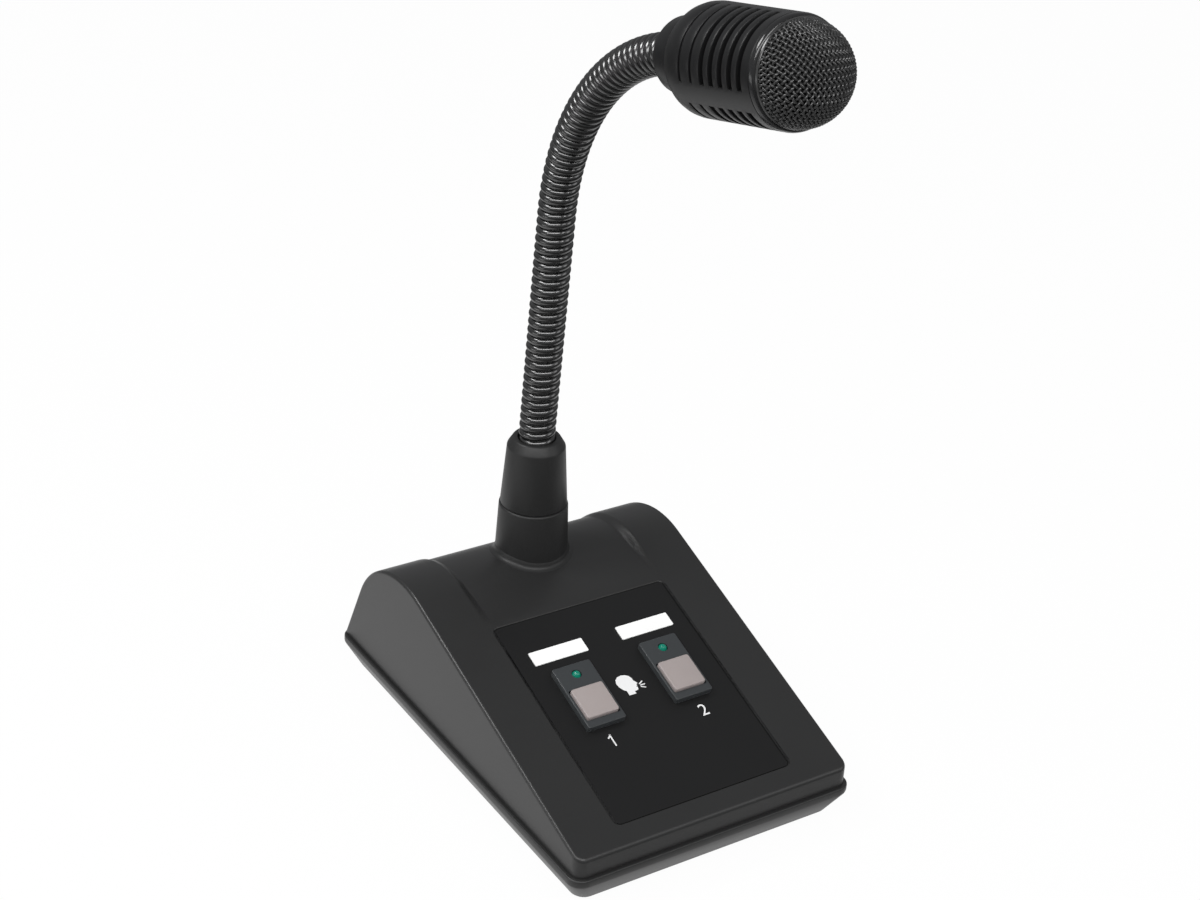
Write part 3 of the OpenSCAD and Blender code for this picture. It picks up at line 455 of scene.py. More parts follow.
# Control board: glass-fibre laminate with green solder mask, screwed to posts under the panel.
# It carries the key switches, the lamps on their spacers, the preamplifier and two headers.
board_look = moulded_plastic("solder_mask", (0.006, 0.09, 0.035), (0.01, 0.13, 0.05), 0.35, 0.8, 0.12)
dress(board_look, "control_board")
chip_look = moulded_plastic("chip_epoxy", (0.01, 0.01, 0.011), (0.015, 0.015, 0.016), 0.6, 0.2, 0.3)
dress(chip_look, "preamp_chip", "key_switch_1", "key_switch_2")
nylon_look = moulded_plastic("white_nylon", (0.7, 0.67, 0.58), (0.76, 0.73, 0.65), 0.45, 0.4, 0.1)
dress(nylon_look, "lamp_spacers", "board_headers")
can_look = moulded_plastic("shrink_sleeve", (0.02, 0.035, 0.08), (0.025, 0.045, 0.1), 0.3, 0.6, 0.08)
dress(can_look, "capacitors")
lead_look = moulded_plastic("lead_jacket", grey(0.012), grey(0.018), 0.6, 0.3, 0.25)
dress(lead_look, "mic_lead_tail", "socket_wires")

# Top shell: the upper half of the case, moulded in one piece with a sloped panel and a rounded hump.
# A shallow saddle runs over the hump between two ridges, and a recess in the panel takes the label.
SLOPE, REAR_LEAN = math.radians(18.4), math.radians(24.7)
SHELL_HALF_W, SHELL_HIGH, SHELL_EDGE = LIP_W / 2 - LIP_LEDGE, 80, 1.2
FRONT_Y, FRONT_Z, REAR_Y = -LIP_L / 2 + LIP_LEDGE, 18, LIP_L / 2 - 1.4
HUMP_R, SADDLE_R, SADDLE_HALF_W, SADDLE_DROP, SADDLE_FRONT = 33, 32, 31.6, 2.3, 92.5
SADDLE_SINK, SADDLE_LAP, SADDLE_TURN = 0.15, 0.1, SLOPE - math.radians(8)
STEP_W, STEP_LINES, FLOOR_LINES, FLOOR_PITCH = 3.4, 6, 7, 2.5
SAME = 1e-6
panel_normal = Vector((0, -math.sin(SLOPE), math.cos(SLOPE)))
rear_normal = Vector((0, math.cos(REAR_LEAN), math.sin(REAR_LEAN)))


def panel_point(x, s, h):
    """A place x across, s up the slope from the panel's front edge and h above it, in metres."""
    y = FRONT_Y + s * math.cos(SLOPE) - h * math.sin(SLOPE)
    return case_point(x, y, FRONT_Z + s * math.sin(SLOPE) + h * math.cos(SLOPE))


def hump_centre(radius, drop=0):
    """Y and Z of the circle that touches the rear wall and the panel lowered by drop, in case millimetres."""
    a = radius + drop + FRONT_Y * math.sin(SLOPE) - FRONT_Z * math.cos(SLOPE)
    b = radius - REAR_Y * math.cos(REAR_LEAN) - PART_Z * math.sin(REAR_LEAN)
    d = -math.sin(SLOPE) * math.sin(REAR_LEAN) - math.cos(SLOPE) * math.cos(REAR_LEAN)
    y = (-a * math.sin(REAR_LEAN) + math.cos(SLOPE) * b) / d
    z = (math.sin(SLOPE) * b + math.cos(REAR_LEAN) * a) / d
    return y, z


saddle_y, saddle_z = hump_centre(SADDLE_R, SADDLE_DROP)
saddle_z -= SADDLE_SINK
start_y = FRONT_Y + SADDLE_FRONT * math.cos(SLOPE)
start_z = FRONT_Z + SADDLE_FRONT * math.sin(SLOPE)
join_y = saddle_y - (SADDLE_R - SADDLE_LAP) * math.sin(SADDLE_TURN)
join_z = saddle_z + (SADDLE_R - SADDLE_LAP) * math.cos(SADDLE_TURN)


def saddle_floor(y):
    """Height of the saddle's floor, in case millimetres: a front slope, then a round crown."""
    crown = saddle_z + math.sqrt(max(0, SADDLE_R**2 - (y - saddle_y) ** 2))
    share = (y - start_y) / (join_y - start_y)
    slope = start_z + (join_z - start_z) * share
    return max(slope, crown) if share < 1 else crown


def slice_mesh(point, normal, **settings):
    """In edit mode, cuts the whole mesh along a plane."""
    bpy.ops.mesh.select_all(action="SELECT")
    bpy.ops.mesh.bisect(plane_co=point, plane_no=normal, **settings)


shell = add_block(
    "case_top", case_point(-SHELL_HALF_W, FRONT_Y, PART_Z), case_point(SHELL_HALF_W, LIP_L / 2, SHELL_HIGH)
)
bpy.ops.object.mode_set(mode="EDIT")
slice_mesh(panel_point(0, 0, 0), panel_normal, use_fill=True, clear_outer=True)
slice_mesh(case_point(0, REAR_Y, PART_Z), rear_normal, use_fill=True, clear_outer=True)
front_line = case_point(0, FRONT_Y, 0).y
select_edges(lambda a, b: abs(a.x - b.x) < SAME and abs(a.y - b.y) < SAME and a.y < front_line + MM)
bevel_edges(LIP_CORNER - LIP_LEDGE, 8)
crest = max(v.co.z for v in bmesh.from_edit_mesh(shell.data).verts)
select_edges(lambda a, b: min(a.z, b.z) > crest - 10 * SAME)
hump_reach = HUMP_R * math.tan((math.pi / 2 + SLOPE - REAR_LEAN) / 2)
bevel_edges(hump_reach, 28, profile=0.5)
bottom = case_point(0, 0, PART_Z).z
round_creases(28, lambda c: c.z > bottom + 0.5 * MM, SHELL_EDGE, 5)
for side in (-1, 1):
    for k in range(STEP_LINES):
        slice_mesh((side * (SADDLE_HALF_W + STEP_W * k / (STEP_LINES - 1)) * MM, 0, 0), (1, 0, 0))
saddle_end = saddle_y + SADDLE_R * math.cos(REAR_LEAN)
for y in [start_y + FLOOR_PITCH * k for k in range(FLOOR_LINES)] + [saddle_end]:
    slice_mesh(case_point(0, y, 0), (0, 1, 0))
for vertex in bmesh.from_edit_mesh(shell.data).verts:
    y = vertex.co.y / MM - CASE_Y
    on_step = min(max((abs(vertex.co.x) / MM - SADDLE_HALF_W) / STEP_W, 0), 1)
    if on_step < 1 and start_y < y < saddle_end - SADDLE_LAP and vertex.co.z > bottom + MM:
        drop = max(0, vertex.co.z - case_point(0, 0, saddle_floor(y)).z)
        vertex.co.z -= drop * (1 - on_step**2 * (3 - 2 * on_step))
bmesh.update_edit_mesh(shell.data)
select_faces(lambda c, n: n.z < -0.9 and c.z < bottom + NEAR / 2)
bpy.ops.mesh.delete(type="FACE")
bpy.ops.object.mode_set(mode="OBJECT")
use_modifier(shell, "SOLIDIFY", thickness=WALL * MM, offset=-1, use_even_offset=True)

LABEL_W, LABEL_L, LABEL_FRONT, LABEL_R = 66.3, 82, 8, 2
RECESS_D, RECESS_GAP, RECESS_EDGE, RECESS_X = 0.6, 0.2, 0.5, 34
KEY_X, KEY_S, KEY_W, FRAME_W, FRAME_L, FRAME_OFFSET = 16.8, 51.4, 12, 14.3, 25, 3.5
KEYS = ((1, -KEY_X), (2, KEY_X))
FRAME_S = KEY_S + FRAME_OFFSET
LABEL_S = LABEL_FRONT + LABEL_L / 2
CUT_TOP = 3


def panel_block(name, x, s, width, length, low, high, corner=0, rounds=6):
    """A block on the panel with rounded upright corners, its length up the slope, from low to high."""
    bpy.ops.object.select_all(action="DESELECT")
    bpy.ops.mesh.primitive_cube_add(size=1)
    block = bpy.context.object
    block.name = name
    block.scale = Vector((width, length, high - low)) * MM
    block.location = panel_point(x, s, (low + high) / 2)
    block.rotation_euler = (SLOPE, 0, 0)
    if corner:
        bpy.ops.object.transform_apply(location=False, rotation=False, scale=True)
        bpy.ops.object.mode_set(mode="EDIT")
        select_edges(lambda a, b: abs(a.z - b.z) > SAME)
        bevel_edges(corner, rounds)
        bpy.ops.object.mode_set(mode="OBJECT")
    bpy.ops.object.transform_apply()
    return block


def above_panel(place):
    """Height of a place above the panel, in metres."""
    return (place - panel_point(0, 0, 0)).dot(panel_normal)


recess_w, recess_l = LABEL_W + 2 * RECESS_GAP, LABEL_L + 2 * RECESS_GAP
cut_away(
    shell, panel_block("recess", 0, LABEL_S, recess_w, recess_l, -RECESS_D, CUT_TOP, LABEL_R + RECESS_GAP)
)
bpy.ops.object.mode_set(mode="EDIT")
round_creases(
    50, lambda c: abs(above_panel(c)) < 0.02 * MM and abs(c.x) < RECESS_X * MM, RECESS_EDGE, 4
)
bpy.ops.object.mode_set(mode="OBJECT")
for x in (-KEY_X, KEY_X):
    cut_away(shell, panel_block("window", x, FRAME_S, FRAME_W - 0.4, FRAME_L - 0.4, -6, CUT_TOP))
BOOT_Y, NECK_HOLE_R, SOCKET_HOLE_R, SOCKET_Z = 39.7, 8, 7.8, 23
SOCKET_Y = REAR_Y - (SOCKET_Z - PART_Z) * math.tan(REAR_LEAN)
socket_turn = (REAR_LEAN - math.pi / 2, 0, 0)
cut_away(shell, add_rod("neck_hole", case_point(0, BOOT_Y, 50), NECK_HOLE_R, 30))
cut_away(shell, add_rod("socket_hole", case_point(0, SOCKET_Y, SOCKET_Z), SOCKET_HOLE_R, 20, socket_turn))
finish_edges(shell, 28)
use_modifier(shell, "WEIGHTED_NORMAL", keep_sharp=True, weight=60)
wear(shell, case_look)
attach(shell, "base")
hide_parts("top_shell")

# Label: a satin printed film stuck in the panel's recess, with openings for the two switches.
# Its print is white: a number before each key and a plain sign of a speaking head between them.
LABEL_TOP, PRINT_LIFT, INK = -0.2, 0.01, 0.03
NUMBER_S, NUMBER_ONE_X, NUMBER_TWO_X, SIGN_X, SIGN_S = 36.9, -17.9, 17.5, -1.4, 54.8
label_look = moulded_plastic(
    "label_film", (0.004, 0.004, 0.0042), (0.005, 0.005, 0.0052), 0.45, 0.25, 0.12,
    {"Specular IOR Level": 0.4},
)
dress(label_look, "panel_label")
print_look = moulded_plastic("white_print", grey(0.78), grey(0.84), 0.5, 0.4, 0.05)
panel_turn = Matrix.Rotation(SLOPE, 4, "X")


def print_on_label(piece, x, s):
    """Lays a flat mesh drawn in millimetres on the label, with its middle at x, s."""
    take_up(piece)
    place = Matrix.Translation(panel_point(x, s, LABEL_TOP + PRINT_LIFT)) @ panel_turn
    piece.matrix_world = place @ Matrix.Scale(MM, 4)
    bpy.ops.object.transform_apply()
    wear(piece, print_look)
    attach(piece, "base")


def print_bar(name, low, high, degrees, place):
    """A printed bar between two corners, turned round the origin and moved to its place on the drawing."""
    bar = add_block(name, (*low, 0), (*high, INK))
    bar.rotation_euler = (0, 0, math.radians(degrees))
    bar.location = (*place, 0)
    bpy.ops.object.transform_apply()
    return bar


number_one = print_bar("number_one", (0, -2.3), (0.5, 2.3), 0, (0, 0))
flag = print_bar("flag", (-0.85, -0.24), (0.85, 0.24), 38, (-0.25, 1.55))
print_on_label(join_pieces("number_one", [number_one, flag]), NUMBER_ONE_X, NUMBER_S)

bpy.ops.object.select_all(action="DESELECT")
bpy.ops.object.text_add()
number_two = bpy.context.object
number_two.data.body = "2"
number_two.data.size = 6.4
number_two.data.extrude = 0.02
number_two.data.align_x = "CENTER"
number_two.data.align_y = "CENTER"
bpy.ops.object.convert(target="MESH")
number_two.name = "number_two"
print_on_label(number_two, NUMBER_TWO_X, NUMBER_S)

sign_outline = [
    (-1.7, -4.1), (-1.7, -2.3), (-2.7, -1.3), (-3.4, 0.1), (-3.6, 1.5), (-3.1, 2.9), (-2, 3.8), (-0.5, 4.1),
    (1, 3.8), (2.1, 3), (2.6, 1.9), (2.6, 0.9), (3.5, -0.5), (2.8, -0.8), (2.9, -1.3), (2.3, -1.6),
    (2.7, -1.9), (2.4, -2.9), (1.5, -3.1), (0.9, -3.1), (0.9, -4.1),
]
sign_mesh = bpy.data.meshes.new("speaking_head")
sign = bpy.data.objects.new("speaking_head", sign_mesh)
scene.collection.objects.link(sign)
take_up(sign)
sign_mesh.from_pydata([(x, y, 0) for x, y in sign_outline], [], [range(len(sign_outline))])
bpy.ops.object.mode_set(mode="EDIT")
bpy.ops.mesh.select_all(action="SELECT")
bpy.ops.mesh.extrude_region_move(TRANSFORM_OT_translate={"value": (0, 0, INK)})
bpy.ops.mesh.select_all(action="SELECT")
bpy.ops.mesh.normals_make_consistent(inside=False)
bpy.ops.object.mode_set(mode="OBJECT")
rays = [print_bar("ray", (1.1, -0.2), (2.9, 0.2), degrees, (2.8, -1.6)) for degrees in (-28, 0, 28)]
print_on_label(join_pieces("speaking_head", [sign, *rays]), SIGN_X, SIGN_S)

# Name strips: blank white write-on strips above the switches.
# They are thin gloss card under a clear film.
strip_look = moulded_plastic("strip_card", (0.92, 0.92, 0.91), (0.95, 0.95, 0.94), 0.32, 0.6, 0.04)
dress(strip_look, "name_strip_1", "name_strip_2")

# Switch frames: smoked, slightly see-through housings that snap into the panel.
# Each has a square well for its key and a round one for its lamp.
FRAME_TOP, FRAME_CORNER, FRAME_EDGE, SKIRT_LOW, SKIRT_TOP = 2.0, 0.7, 0.3, -3.1, 0.4
WELL_W, LAMP_HOLE_R, LAMP_S = KEY_W + 0.6, 1.7, FRAME_S + FRAME_L / 2 - 4.2
smoked_look = moulded_plastic(
    "smoked_housing", (0.05, 0.055, 0.058), (0.06, 0.066, 0.07), 0.36, 0.5, 0.05,
    {"Transmission Weight": 0.35, "IOR": 1.49},
)


def weld_on(piece, part):
    """Makes a part one with the piece, and removes what is left of it."""
    use_modifier(piece, "BOOLEAN", operation="UNION", solver="EXACT", object=part)
    bpy.data.objects.remove(part)


for number, x in KEYS:
    housing = panel_block(
        f"switch_housing_{number}", x, FRAME_S, FRAME_W, FRAME_L, LABEL_TOP, FRAME_TOP, FRAME_CORNER
    )
    weld_on(housing, panel_block("skirt", x, FRAME_S, FRAME_W - 1, FRAME_L - 1, SKIRT_LOW, SKIRT_TOP, 0.3))
    bpy.ops.object.mode_set(mode="EDIT")
    round_creases(40, lambda c: above_panel(c) > (FRAME_TOP - 0.05) * MM, FRAME_EDGE, 3)
    bpy.ops.object.mode_set(mode="OBJECT")
    cut_away(housing, panel_block("well", x, KEY_S, WELL_W, WELL_W, -5, 5, 0.5, 3))
    cut_away(housing, add_rod("lamp_hole", panel_point(x, LAMP_S, 0), LAMP_HOLE_R, 12, (SLOPE, 0, 0)))
    finish_edges(housing)
    wear(housing, smoked_look)
    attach(housing, "base")
    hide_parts(f"switch_frame_{number}")

# Talk keys: square caps moulded in pale pinkish-grey plastic, with soft edges.
# Under the panel each has a flange that stops against its frame and a stem into its switch.
KEY_TOP, KEY_CORNER, KEY_EDGE = FRAME_TOP + 1.1, 0.9, 0.45
FLANGE_TOP, FLANGE_H, FLANGE_W, STEM_BOTTOM, STEM_R = -3.4, 1, 13.6, -8.0, 1.7
stem_middle, stem_length = (FLANGE_TOP + STEM_BOTTOM) / 2, FLANGE_TOP - STEM_BOTTOM
key_look = moulded_plastic(
    "key_cap", (0.32, 0.278, 0.27), (0.36, 0.315, 0.305), 0.5, 0.4, 0.1,
    {"Subsurface Weight": 0.1, "Subsurface Radius": (0.001, 0.0008, 0.0007)},
)
for number, x in KEYS:
    key = panel_block(f"key_cap_{number}", x, KEY_S, KEY_W, KEY_W, FLANGE_TOP, KEY_TOP, KEY_CORNER)
    bpy.ops.object.mode_set(mode="EDIT")
    round_creases(40, lambda c: above_panel(c) > (KEY_TOP - 0.02) * MM, KEY_EDGE, 4)
    bpy.ops.object.mode_set(mode="OBJECT")
    flange = panel_block(
        "flange", x, KEY_S, FLANGE_W, FLANGE_W, FLANGE_TOP - FLANGE_H, FLANGE_TOP + 0.02, 0.4, 3
    )
    stem = add_rod("stem", panel_point(x, KEY_S, stem_middle), STEM_R, stem_length, (SLOPE, 0, 0), 24)
    weld_on(key, flange)
    weld_on(key, stem)
    finish_edges(key)
    wear(key, key_look)
    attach(key, f"talk_key_{number}")
    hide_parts(f"talk_key_{number}")

# Lamps: clear green light-emitting diodes with domed ends, standing a little proud of their frames.
# Each has a flange, and two legs into the board.
LENS_R, LENS_STRAIGHT, LENS_DOME, LAMP_LOW, LAMP_FLANGE_R, LAMP_FLANGE_TOP = 1.5, 1.0, 1.9, -4.6, 1.9, -3.6
LEG_X, LEG_MIDDLE, LEG_R, LEG_L = 1.2, -8.6, 0.25, 8.8
lamp_look = moulded_plastic(
    "green_lens", (0.004, 0.16, 0.11), (0.006, 0.2, 0.14), 0.08, 1.2, 0.02,
    {"Transmission Weight": 0.3, "Emission Color": (0.0, 0.35, 0.22, 1), "Emission Strength": 0.18},
)
lamp_outline = [
    (0, LAMP_LOW), (LAMP_FLANGE_R, LAMP_LOW), (LAMP_FLANGE_R, LAMP_FLANGE_TOP), (LENS_R, LAMP_FLANGE_TOP),
    (LENS_R, LENS_STRAIGHT),
]
for degrees in range(10, 90, 10):
    a = math.radians(degrees)
    lamp_outline.append((LENS_R * math.cos(a), LENS_STRAIGHT + LENS_DOME * math.sin(a)))
lamp_outline.append((0, LENS_STRAIGHT + LENS_DOME))
for number, x in KEYS:
    place = Matrix.Translation(panel_point(x, LAMP_S, 0)) @ panel_turn
    lens = turned(f"lamp_lens_{number}", lamp_outline, 32, place)
    legs = [
        add_rod("leg", panel_point(x + i * LEG_X, LAMP_S, LEG_MIDDLE), LEG_R, LEG_L, (SLOPE, 0, 0), 10)
        for i in (-1, 1)
    ]
    lens = join_pieces(f"lamp_lens_{number}", [lens, *legs])
    finish_edges(lens, 45)
    wear(lens, lamp_look)
    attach(lens, "base")
    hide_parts(f"lamp_{number}")

# Line socket: a round multi-pin socket of nickel-plated steel, screwed to the rear wall.
# Its black insert holds five brass contacts.
dress(plated_metal("nickel_plate", (0.6, 0.59, 0.56), 0.28, 0.9), "socket_shell")
insert_look = moulded_plastic("insert_plastic", (0.012, 0.012, 0.013), (0.016, 0.016, 0.017), 0.45, 0.3, 0.2)
dress(insert_look, "socket_insert")
dress(plated_metal("contact_brass", (0.72, 0.55, 0.26), 0.25, 0.5), "socket_contacts")

# Boot: a moulded collar seated on the saddle and a tapered sleeve above it, with a fine groove between.
# A flare runs round the collar's foot where it meets the case.
BOOT_R, BOOT_MID_R, BOOT_TOP_R, BOOT_MID_Z, BOOT_TOP_Z = 12.7, 11.8, 9.9, 70.2, 95
BOOT_LOW_Z, BOOT_BORE_R, SLEEVE_BORE_R, BOOT_STEPS = 42, 8, 6.35, 64
boot_look = moulded_plastic(
    "boot_grain", grey(0.016), grey(0.018), 0.42, 0.35, 0.2, {"Specular IOR Level": 0.35}
)
boot_place = Matrix.Translation(case_point(0, BOOT_Y, 0))
collar = turned(
    "boot_foot",
    [
        (BOOT_BORE_R, BOOT_LOW_Z), (BOOT_R, BOOT_LOW_Z), (BOOT_R, 47), (BOOT_MID_R, BOOT_MID_Z - 0.7),
        (BOOT_MID_R - 0.12, BOOT_MID_Z - 0.3), (BOOT_MID_R - 0.5, BOOT_MID_Z), (9.6, BOOT_MID_Z), (9.6, 60),
        (BOOT_BORE_R, 60), (BOOT_BORE_R, BOOT_LOW_Z),
    ],
    BOOT_STEPS, boot_place,
)
lower = add_block("below_saddle", case_point(-20, 10, 30), case_point(20, 70, 50))
bpy.ops.object.mode_set(mode="EDIT")
for k in range(49):
    slice_mesh(case_point(0, 15 + k, 0), (0, 1, 0))
for vertex in bmesh.from_edit_mesh(lower.data).verts:
    if vertex.co.z > case_point(0, 0, 40).z:
        vertex.co.z = case_point(0, 0, saddle_floor(vertex.co.y / MM - CASE_Y) + 0.05).z
bmesh.update_edit_mesh(lower.data)
bpy.ops.object.mode_set(mode="OBJECT")
cut_away(collar, lower)
flare = turned(
    "foot_flare",
    [
        (BOOT_R - 0.6, 2.6), (BOOT_R - 0.02, 1.9), (BOOT_R + 0.12, 1.25), (BOOT_R + 0.4, 0.7),
        (BOOT_R + 0.85, 0.32), (BOOT_R + 1.4, 0.12), (BOOT_R + 1.7, 0.03), (BOOT_R + 1.7, -0.1),
        (BOOT_R - 0.6, -0.1), (BOOT_R - 0.6, 2.6),
    ],
    BOOT_STEPS, boot_place,
)
for vertex in flare.data.vertices:
    vertex.co.z += saddle_floor(vertex.co.y / MM - CASE_Y) * MM
collar = join_pieces("boot_foot", [collar, flare])
finish_edges(collar, 40)
wear(collar, boot_look)
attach(collar, "base")
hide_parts("boot_collar")

sleeve = turned(
    "boot_cone",
    [
        (BOOT_BORE_R, BOOT_MID_Z), (BOOT_MID_R - 0.75, BOOT_MID_Z), (BOOT_MID_R - 0.45, BOOT_MID_Z + 0.3),
        (BOOT_MID_R - 0.4, BOOT_MID_Z + 0.7), (BOOT_TOP_R, BOOT_TOP_Z - 3.4),
        (BOOT_TOP_R - 0.08, BOOT_TOP_Z - 3.05), (BOOT_TOP_R - 0.28, BOOT_TOP_Z - 2.7),
        (BOOT_TOP_R - 1.65, BOOT_TOP_Z - 0.45), (BOOT_TOP_R - 1.95, BOOT_TOP_Z - 0.12),
        (BOOT_TOP_R - 2.3, BOOT_TOP_Z), (6.8, BOOT_TOP_Z), (6.5, BOOT_TOP_Z - 0.1),
        (SLEEVE_BORE_R, BOOT_TOP_Z - 0.5), (SLEEVE_BORE_R, 78.5), (BOOT_BORE_R, 78.5),
        (BOOT_BORE_R, BOOT_MID_Z),
    ],
    BOOT_STEPS, boot_place,
)
finish_edges(sleeve, 40)
wear(sleeve, boot_look)
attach(sleeve, "base")
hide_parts("boot_sleeve")

# Neck: a flexible arm wound of steel wire, its turns lying close against each other, blackened and glossy.
# It stands in the boot, leans a little and bends forward into the head; it is built in stretches, each with
# a stretch of the jacketed lead inside it.
NECK_Z, UPRIGHT, LEAN, LEAN_R, BEND_R, BEND_TURN, NECK_IN_HEAD = 70, 22, 3.5, 150, 78.8, 74.1, 12.6
RIB_PITCH, FIRST_RIBS, LINK_RIBS, LINKS = 2.99, 14, 10, 7
WIRE_TOP, WIRE_LOW, WIRE_ROUND, COIL_WALL, COIL_SIDES, COIL_ROWS = 6.2, 5.1, 1.7, 1.2, 36, 18
NECK_L = RIB_PITCH * (FIRST_RIBS + (LINKS - 1) * LINK_RIBS)
lean_end = UPRIGHT + LEAN_R * math.radians(LEAN)
bend_end = NECK_L - NECK_IN_HEAD
bend_start = bend_end - BEND_R * math.radians(BEND_TURN)
LEAD_R, LEAD_SIDES, LEAD_ROW, LEAD_END = 2, 16, 2.5, bend_end + 25.7


def along_neck(y, z, degrees, length):
    """The place a length further on, straight, from a place where the neck leans by an angle."""
    a = math.radians(degrees)
    return y - length * math.sin(a), z + length * math.cos(a)


def round_neck(y, z, degrees, radius, to_degrees):
    """The place at the end of a bend that starts at one lean and ends at another."""
    a, b = math.radians(degrees), math.radians(to_degrees)
    return y + radius * (math.cos(b) - math.cos(a)), z + radius * (math.sin(b) - math.sin(a))


neck_1 = along_neck(BOOT_Y, NECK_Z, 0, UPRIGHT)
neck_2 = round_neck(*neck_1, 0, LEAN_R, LEAN)
neck_3 = along_neck(*neck_2, LEAN, bend_start - lean_end)
neck_4 = round_neck(*neck_3, LEAN, BEND_R, LEAN + BEND_TURN)


def neck_place(s):
    """Y, Z and lean of the neck's middle line at a distance along it, in case millimetres and radians."""
    if s < UPRIGHT:
        lean = 0
        y, z = along_neck(BOOT_Y, NECK_Z, 0, s)
    elif s < lean_end:
        lean = math.degrees((s - UPRIGHT) / LEAN_R)
        y, z = round_neck(*neck_1, 0, LEAN_R, lean)
    elif s < bend_start:
        lean = LEAN
        y, z = along_neck(*neck_2, LEAN, s - lean_end)
    elif s < bend_end:
        lean = LEAN + math.degrees((s - bend_start) / BEND_R)
        y, z = round_neck(*neck_3, LEAN, BEND_R, lean)
    else:
        lean = LEAN + BEND_TURN
        y, z = along_neck(*neck_4, lean, s - bend_end)
    return y, z, math.radians(lean)


def neck_point(s, side, up):
    """A place in metres at a distance along the neck, to the side of its middle line and above it."""
    y, z, lean = neck_place(s)
    return case_point(side, y + up * math.cos(lean), z + up * math.sin(lean))


def coil_radius(turns):
    """Radius of the wound surface: a rib with sloping shoulders, and a narrow groove between two turns."""
    part = abs(2 * (turns % 1) - 1)
    return WIRE_LOW + (WIRE_TOP - WIRE_LOW) * (1 - part**WIRE_ROUND) ** (1 / WIRE_ROUND)


def wound_neck(name, s0, s1):
    """A stretch of the wound neck from s0 to s1, as a rolled-up grid whose rows follow the winding."""
    turns = round((s1 - s0) / RIB_PITCH) + 2
    bpy.ops.object.select_all(action="DESELECT")
    bpy.ops.mesh.primitive_grid_add(x_subdivisions=COIL_SIDES, y_subdivisions=turns * COIL_ROWS, size=2)
    piece = bpy.context.object
    piece.name = name
    for vertex in piece.data.vertices:
        round_share = (vertex.co.x + 1) / 2
        s = s0 + ((vertex.co.y + 1) / 2 * turns - 1 + round_share) * RIB_PITCH
        s = min(max(s, s0), s1)
        angle = 2 * math.pi * round_share
        radius = coil_radius(s / RIB_PITCH - round_share)
        vertex.co = neck_point(s, radius * math.cos(angle), radius * math.sin(angle))
    bpy.ops.object.mode_set(mode="EDIT")
    bpy.ops.mesh.select_all(action="SELECT")
    bpy.ops.mesh.remove_doubles(threshold=0.01 * MM)
    bpy.ops.mesh.dissolve_degenerate(threshold=0.005 * MM)
    bpy.ops.mesh.select_all(action="SELECT")
    bpy.ops.mesh.normals_make_consistent(inside=False)
    bpy.ops.object.mode_set(mode="OBJECT")
    use_modifier(piece, "SOLIDIFY", thickness=COIL_WALL * MM, offset=-1)
    finish_edges(piece, 50)
    return piece


def neck_lead(name, s0, s1):
    """A stretch of the round lead that runs inside the neck, from s0 to s1."""
    rows = math.ceil((s1 - s0) / LEAD_ROW)
    bpy.ops.object.select_all(action="DESELECT")
    bpy.ops.mesh.primitive_cylinder_add(vertices=LEAD_SIDES, radius=LEAD_R, depth=1, location=(0, 0, 0.5))
    piece = bpy.context.object
    piece.name = name
    bpy.ops.object.transform_apply()
    bpy.ops.object.mode_set(mode="EDIT")
    for row in range(1, rows):
        slice_mesh((0, 0, row / rows), (0, 0, 1))
    bpy.ops.object.mode_set(mode="OBJECT")
    for vertex in piece.data.vertices:
        vertex.co = neck_point(s0 + (s1 - s0) * vertex.co.z, vertex.co.x, vertex.co.y)
    finish_edges(piece, 50)
    return piece


neck_look = moulded_plastic("blackened_wire", grey(0.006), grey(0.009), 0.2, 0.5, 0, {"IOR": 1.85})
half_link = LINK_RIBS * RIB_PITCH / 2
for k in range(1, LINKS):
    joint_s = (FIRST_RIBS + (k - 1) * LINK_RIBS) * RIB_PITCH
    from_s = 0 if k == 1 else joint_s - half_link
    to_s = NECK_L - 0.05 if k == LINKS - 1 else joint_s + half_link
    stretch = wound_neck(f"neck_coil_{k}", from_s, to_s)
    wear(stretch, neck_look)
    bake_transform(stretch)
    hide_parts(*([f"neck_section_{k}"] + (["neck_section_7"] if k == LINKS - 1 else [])))
    lead = neck_lead(f"neck_lead_{k}", from_s, LEAD_END if k == LINKS - 1 else to_s)
    wear(lead, lead_look)
    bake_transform(lead)
    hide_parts(*([f"lead_section_{k}"] + (["lead_section_7"] if k == LINKS - 1 else [])))

# Head collar: a short conical ring of the head's plastic that grips the neck's end.
# The head screws onto its spigot.
HEAD_LEAN = math.radians(LEAN + BEND_TURN)
COLLAR_R, COLLAR_FRONT_R, COLLAR_L, SPIGOT_R, SPIGOT_END, HEAD_BORE_R = 11, 11.2, 8.2, 8.4, 14.65, 6.35
head_place = Matrix.Translation(case_point(0, *neck_4)) @ Matrix.Rotation(HEAD_LEAN, 4, "X")
head_look = moulded_plastic(
    "head_grain", (0.007, 0.007, 0.0073), (0.0085, 0.0085, 0.009), 0.36, 0.3, 0.12,
    {"Specular IOR Level": 0.3},
)
neck_ring = turned(
    "head_neck_ring",
    [
        (HEAD_BORE_R, 0), (COLLAR_R - 0.8, 0), (COLLAR_R - 0.25, 0.25), (COLLAR_R, 0.8),
        (COLLAR_FRONT_R, COLLAR_L - 0.4), (COLLAR_FRONT_R - 0.1, COLLAR_L - 0.1),
        (COLLAR_FRONT_R - 0.4, COLLAR_L), (SPIGOT_R, COLLAR_L), (SPIGOT_R, SPIGOT_END),
        (HEAD_BORE_R, SPIGOT_END), (HEAD_BORE_R, 0),
    ],
    64, head_place,
)
finish_edges(neck_ring, 40)
wear(neck_ring, head_look)
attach(neck_ring, "head")
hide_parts("head_collar")

